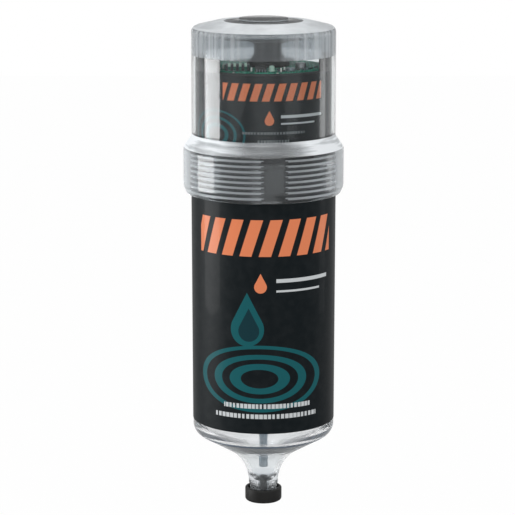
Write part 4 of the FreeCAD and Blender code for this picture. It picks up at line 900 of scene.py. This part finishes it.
def makeBoard():
    bm = copied("circuit_board", 30, 0.12)
    piece("circuit_board_disc", bm, ["board"], "canister", ["circuit_board"])
    screws = copied("board_screws", 30, 0.15)
    slots = []
    for number in range(boardScrews.count):
        angle = math.radians(boardScrews.first + 360 / boardScrews.count * number)
        x, y = boardScrews.circle * math.cos(angle), boardScrews.circle * math.sin(angle)
        slots += crossAt(x, y, boardScrews.slotLong, boardScrews.slotWide,
                         boardTop + boardScrews.slotLow, boardTop + boardScrews.slotHigh)
    piece("board_screws_cross", cut(screws, slots), ["steel"], "canister", ["board_screws"])


switch = Plan(ways=4, pitch=2.54, barHalf=0.62, bedFront=1.2, bedDrop=0.9, legReach=0.8, legHalf=0.3,
              legHeight=0.5)


def makeSwitch():
    # a comb of dark bars over a green bed, with the sliders between the bars and legs at the sides
    low, high = lowOf("switch_block"), highOf("switch_block")
    middle = middleOf("switch_block")
    parts = [boxed((low[0], low[1] + switch.bedFront, low[2]),
                   (high[0], high[1], high[2] - switch.bedDrop), 0.15, material=2)]
    for number in range(switch.ways + 1):
        x = middle[0] + (number - switch.ways / 2) * switch.pitch
        parts.append(boxed((x - switch.barHalf, low[1], low[2]),
                           (x + switch.barHalf, high[1], high[2]), 0.15))
    for number in range(switch.ways):
        x = middle[0] + (number - (switch.ways - 1) / 2) * switch.pitch
        for y, reach in ((low[1], -switch.legReach), (high[1], switch.legReach)):
            parts.append(leg(x, y, (0, reach), switch.legHalf, low[2], low[2] + switch.legHeight, 0.08))
    looks = ["switch", "steel", "board"]
    piece("switch_block_body", poured(*parts), looks, "canister", ["switch_block"])
    for number in range(1, switch.ways + 1):
        node = "switch_slider_%d" % number
        knob = copied(node, 30, 0.12)
        piece(node + "_knob", knob, ["lens"], node, [node])


chip = Plan(legs=4, legHalf=0.2, legEdge=0.7, knee=0.5, foot=(0.3, 1.0), footHeight=0.3, kneeHeight=1.1,
            spot=0.35, spotIn=0.9, spotDepth=0.05, spotRise=0.02)


def makeChip():
    low, high = lowOf("timer_chip"), highOf("timer_chip")
    bottom, top = high[2] - chip.spotDepth, high[2] + chip.spotRise
    spot = turned([(0, bottom), (chip.spot, bottom), (chip.spot, top), (0, top)], 24,
                  (low[0] + chip.spotIn, low[1] + chip.spotIn), 1)
    parts = [copied("timer_chip", 30, 0.2), spot]
    run = high[0] - low[0] - 2 * chip.legEdge
    ankle, knee = low[2] + chip.footHeight, low[2] + chip.kneeHeight
    for number in range(chip.legs):
        x = low[0] + chip.legEdge + number * run / (chip.legs - 1)
        for y, way in ((low[1], -1), (high[1], 1)):
            foot = [way * part for part in chip.foot]
            parts.append(leg(x, y, (0, way * chip.knee), chip.legHalf, ankle, knee, 0.06))
            parts.append(leg(x, y, foot, chip.legHalf, low[2], ankle, 0.06))
    piece("timer_chip_body", poured(*parts), ["black", "steel"], "canister", ["timer_chip"])


signal = Plan(rimHeight=0.8, rimWide=0.3, crown=1.2)


def makeLamp():
    low, high = lowOf("signal_lamp"), highOf("signal_lamp")
    reach = (high[0] - low[0]) / 2
    rim, inner = low[2] + signal.rimHeight, reach - signal.rimWide
    lens = turned([(0, low[2]), (reach, low[2], 0.15), (reach, rim, 0.15), (inner, rim),
                   (inner, high[2], signal.crown), (0, high[2])], 48, middleOf("signal_lamp")[:2])
    piece("signal_lamp_lens", lens, ["lens"], "canister", ["signal_lamp"])


tin = Plan(beadLow=0.5, beadMiddle=0.7, beadHigh=0.9, beadDepth=0.2, slotLong=1.7, slotWide=0.12,
           slotDepth=0.2, slotAbove=0.5)


def makeCapacitor():
    # an aluminium can with a rolled bead at its foot and a cross in its top
    low, high = lowOf("capacitor"), highOf("capacitor")
    x, y = middleOf("capacitor")[:2]
    reach = (high[0] - low[0]) / 2
    bm = turned([(0, low[2]), (reach, low[2], 0.2), (reach, low[2] + tin.beadLow),
                 (reach - tin.beadDepth, low[2] + tin.beadMiddle), (reach, low[2] + tin.beadHigh),
                 (reach, high[2], 0.35), (0, high[2])], 48, (x, y))
    slots = crossAt(x, y, tin.slotLong, tin.slotWide, high[2] - tin.slotDepth,
                    high[2] + tin.slotAbove)
    piece("capacitor_tin", cut(bm, slots), ["aluminium"], "canister", ["capacitor"])


connector = Plan(pinAside=1.25, pinHalf=0.3, pinInset=0.8)


def makeConnector():
    node = "battery_connector"
    low, high, middle = lowOf(node)[2], highOf(node)[2], middleOf(node)
    parts = [copied(node, 30, 0.15)]
    for aside in (-connector.pinAside, connector.pinAside):
        parts.append(pillar(middle[0] + aside, middle[1], connector.pinHalf,
                            low + connector.pinInset, high - connector.pinInset, 0.1, 1))
    piece(node + "_shell", poured(*parts), ["white", "steel"], "canister", [node])


smallParts = Plan(
    resistors=((9.0, -23.5, 20), (13.0, -21.0, 32), (22.0, -13.0, 60), (24.6, -7.5, 75), (7.0, -19.5, 0),
               (11.5, -16.5, 30), (-20.5, -12.5, -60), (-23.5, -6.0, -75), (3.0, -17.0, 0),
               (15.5, -18.9, 40)),
    body=(0.8, 0.6, 0.55), tipFrom=0.75, tip=(1.15, 0.62, 0.6),
    posts=((6.9, -25.2), (18.9, -17.9), (20.4, -16.0)),
    pins=((9.6, -22.0), (-5.7, -24.2), (8.0, -26.4), (-18.9, -14.0)), pinHalf=0.4, pinHeight=1.9)
solder = Plan(foot=0.75, waist=0.35, waistUp=0.5, top=0.3, height=1.2)


def makeSmallParts():
    # surface-mounted resistors, solder posts and pins between the larger parts
    parts = []
    (bodyX, bodyY, bodyZ), (tipX, tipY, tipZ) = smallParts.body, smallParts.tip
    tipFrom = smallParts.tipFrom
    for x, y, turn in smallParts.resistors:
        resistor = poured(boxed((-bodyX, -bodyY, 0.0), (bodyX, bodyY, bodyZ), 0.08),
                          boxed((-tipX, -tipY, 0.0), (-tipFrom, tipY, tipZ), 0.1, material=1),
                          boxed((tipFrom, -tipY, 0.0), (tipX, tipY, tipZ), 0.1, material=1))
        swung(resistor, math.radians(turn))
        bmesh.ops.translate(resistor, verts=resistor.verts, vec=(x * mm, y * mm, boardTop * mm))
        parts.append(resistor)
    top = boardTop + solder.height
    for x, y in smallParts.posts:
        parts.append(turned([(0, boardTop), (solder.foot, boardTop),
                             (solder.waist, boardTop + solder.waistUp, 0.2),
                             (solder.top, top, 0.15), (0, top)], 20, (x, y), 1))
    for x, y in smallParts.pins:
        top = boardTop + smallParts.pinHeight
        parts.append(pillar(x, y, smallParts.pinHalf, boardTop, top, 0.12, 2))
    piece("board_small_parts", poured(*parts), ["black", "steel", "white"], "canister")


makeBoard()
makeSwitch()
makeChip()
makeLamp()
makeCapacitor()
makeConnector()
makeSmallParts()
print("circuit board made")


# Carried-over nodes get their materials

nodeLooks = {
    "steel": ("output_shaft", "idler_axle_a", "idler_axle_b", "axle_clips", "gearbox_lower_plate",
              "gearbox_upper_plate", "motor_can", "motor_rotor", "battery_springs", "battery_contacts"),
    "bronze": ("output_bush", "thrust_washer", "gearbox_pillars"),
    "rubber": ("shaft_lip_seal",),
    "gear": ("idler_gear_a", "idler_gear_b", "output_wheel"),
    "aluminium": ("motor_pinion",),
    "magnet": ("motor_magnet",),
    "black": ("motor_end_bell",),
    "white": ("battery_retainer",),
    "sleeve": ("battery_cell_1", "battery_cell_2", "battery_cell_3"),
}


def dressNodes():
    # the nodes without a look of their own are replaced above
    replaced = 0
    for name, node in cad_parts.items():
        looks = [look for look, names in nodeLooks.items() if name in names]
        node.data.materials.clear()
        node.data.materials.append(finishes[looks[0] if looks else "black"])
        replaced += not looks
    print("nodes dressed:", len(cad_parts) - replaced)


dressNodes()


# Studio: white room, soft boxes at the sides, pale floor, camera at the photo's angle

# strengths of the white room: as light, as backdrop, as mirrored low down, behind and above, and as
# seen through clear plastic straight on and aside; the spans are parts of a direction
studio = Plan(ambient=0.8, backdrop=1.0, dark=0.15, mirror=0.6, above=1.1, through=0.96, aside=0.32,
              behindSpan=(0.5, 0.9), belowSpan=(0.0, 0.1), aboveSpan=(0.38, 0.5), asideSpan=(0.12, 0.5))
floor = Plan(down=-150.0, width=6000.0, rough=0.8, white=0.97,
             tones=(rgb(236, 236, 236), rgb(242, 242, 242)))
camera = Plan(lens=158.54, sensor=36.0, place=(-2.91, -1078.3, 337.4), pitch=11.4, clip=(50.0, 50000.0))
lamps = (
    Plan(name="left_box", place=(-900.0, 0.0, 16.5), aim=16.5, size=(540.0, 243.0), watts=2.4),
    Plan(name="right_box", place=(860.0, 260.0, 16.5), aim=16.5, size=(220.0, 243.0), watts=0.22),
    Plan(name="front_fill", place=(100.0, -1300.0, 1100.0), aim=120.0, size=(1200.0, 800.0), watts=4.0),
)


def makeWorld():
    world = bpy.data.worlds.new("studio_room")
    scene.world = world
    room = Finish(world)
    x, y, z = room.axes(room.add("ShaderNodeTexCoord", output="Generated"))
    behind, above = y.ramp(*studio.behindSpan), z.ramp(*studio.aboveSpan)
    below = z.ramp(*studio.belowSpan, 1.0, 0.0)
    mirrored = behind * below * (studio.mirror - studio.dark) + studio.dark
    mirrored = mirrored + above * (studio.above - mirrored)
    through = abs(x).ramp(*studio.asideSpan, studio.through, studio.aside)
    path = {name: room.add("ShaderNodeLightPath", output=name)
            for name in ("Is Camera Ray", "Is Glossy Ray", "Is Transmission Ray")}
    strength = studio.ambient + path["Is Glossy Ray"] * (mirrored - studio.ambient)
    strength = strength + path["Is Transmission Ray"] * (through - strength)
    strength = strength + path["Is Camera Ray"] * (studio.backdrop - strength)
    background = room.add("ShaderNodeBackground", None, {"Color": (1, 1, 1, 1), "Strength": strength})
    room.add("ShaderNodeOutputWorld", None, {"Surface": background})


def makeFloor():
    bm = bmesh.new()
    bmesh.ops.create_grid(bm, x_segments=8, y_segments=8, size=floor.width * mm / 2)
    bmesh.ops.translate(bm, verts=bm.verts, vec=(0, 0, floor.down * mm))
    mesh = meshOf(bm, "floor")
    material, finish = newFinish("pale_floor")
    cloud = finish.noise(finish.place(), 3)
    tone = finish.tint(cloud, *floor.tones)
    plain = finish.principled({"Base Color": tone, "Roughness": floor.rough})
    white = finish.add("ShaderNodeEmission", None, {"Color": (1, 1, 1, 1), "Strength": 1.0})
    path = [finish.add("ShaderNodeLightPath", output=name)
            for name in ("Is Camera Ray", "Is Transmission Ray")]
    share = path[0].most(path[1]) * floor.white
    finish.surface(finish.add("ShaderNodeMixShader", None, [share, plain, white]))
    mesh.materials.append(material)
    made = linked("floor", mesh)
    made.visible_glossy = False


def makeLamps():
    for lamp in lamps:
        place, target = Vector(lamp.place) * mm, Vector((0, 0, lamp.aim)) * mm
        data = bpy.data.lights.new(lamp.name, "AREA")
        data.shape, data.energy = "RECTANGLE", lamp.watts
        data.size, data.size_y = [side * mm for side in lamp.size]
        made = linked(lamp.name, data)
        made.location = place
        made.rotation_euler = (target - place).to_track_quat("-Z", "Y").to_euler()


def makeCamera():
    data = bpy.data.cameras.new("camera")
    data.lens, data.sensor_width, data.sensor_fit = camera.lens, camera.sensor, "HORIZONTAL"
    data.clip_start, data.clip_end = [reach * mm for reach in camera.clip]
    made = linked("camera", data)
    made.location = Vector(camera.place) * mm
    made.rotation_euler = (math.radians(90 - camera.pitch), 0, 0)
    scene.camera = made


makeWorld()
makeFloor()
makeLamps()
makeCamera()
scene.view_settings.view_transform = "Standard"
print("studio made")
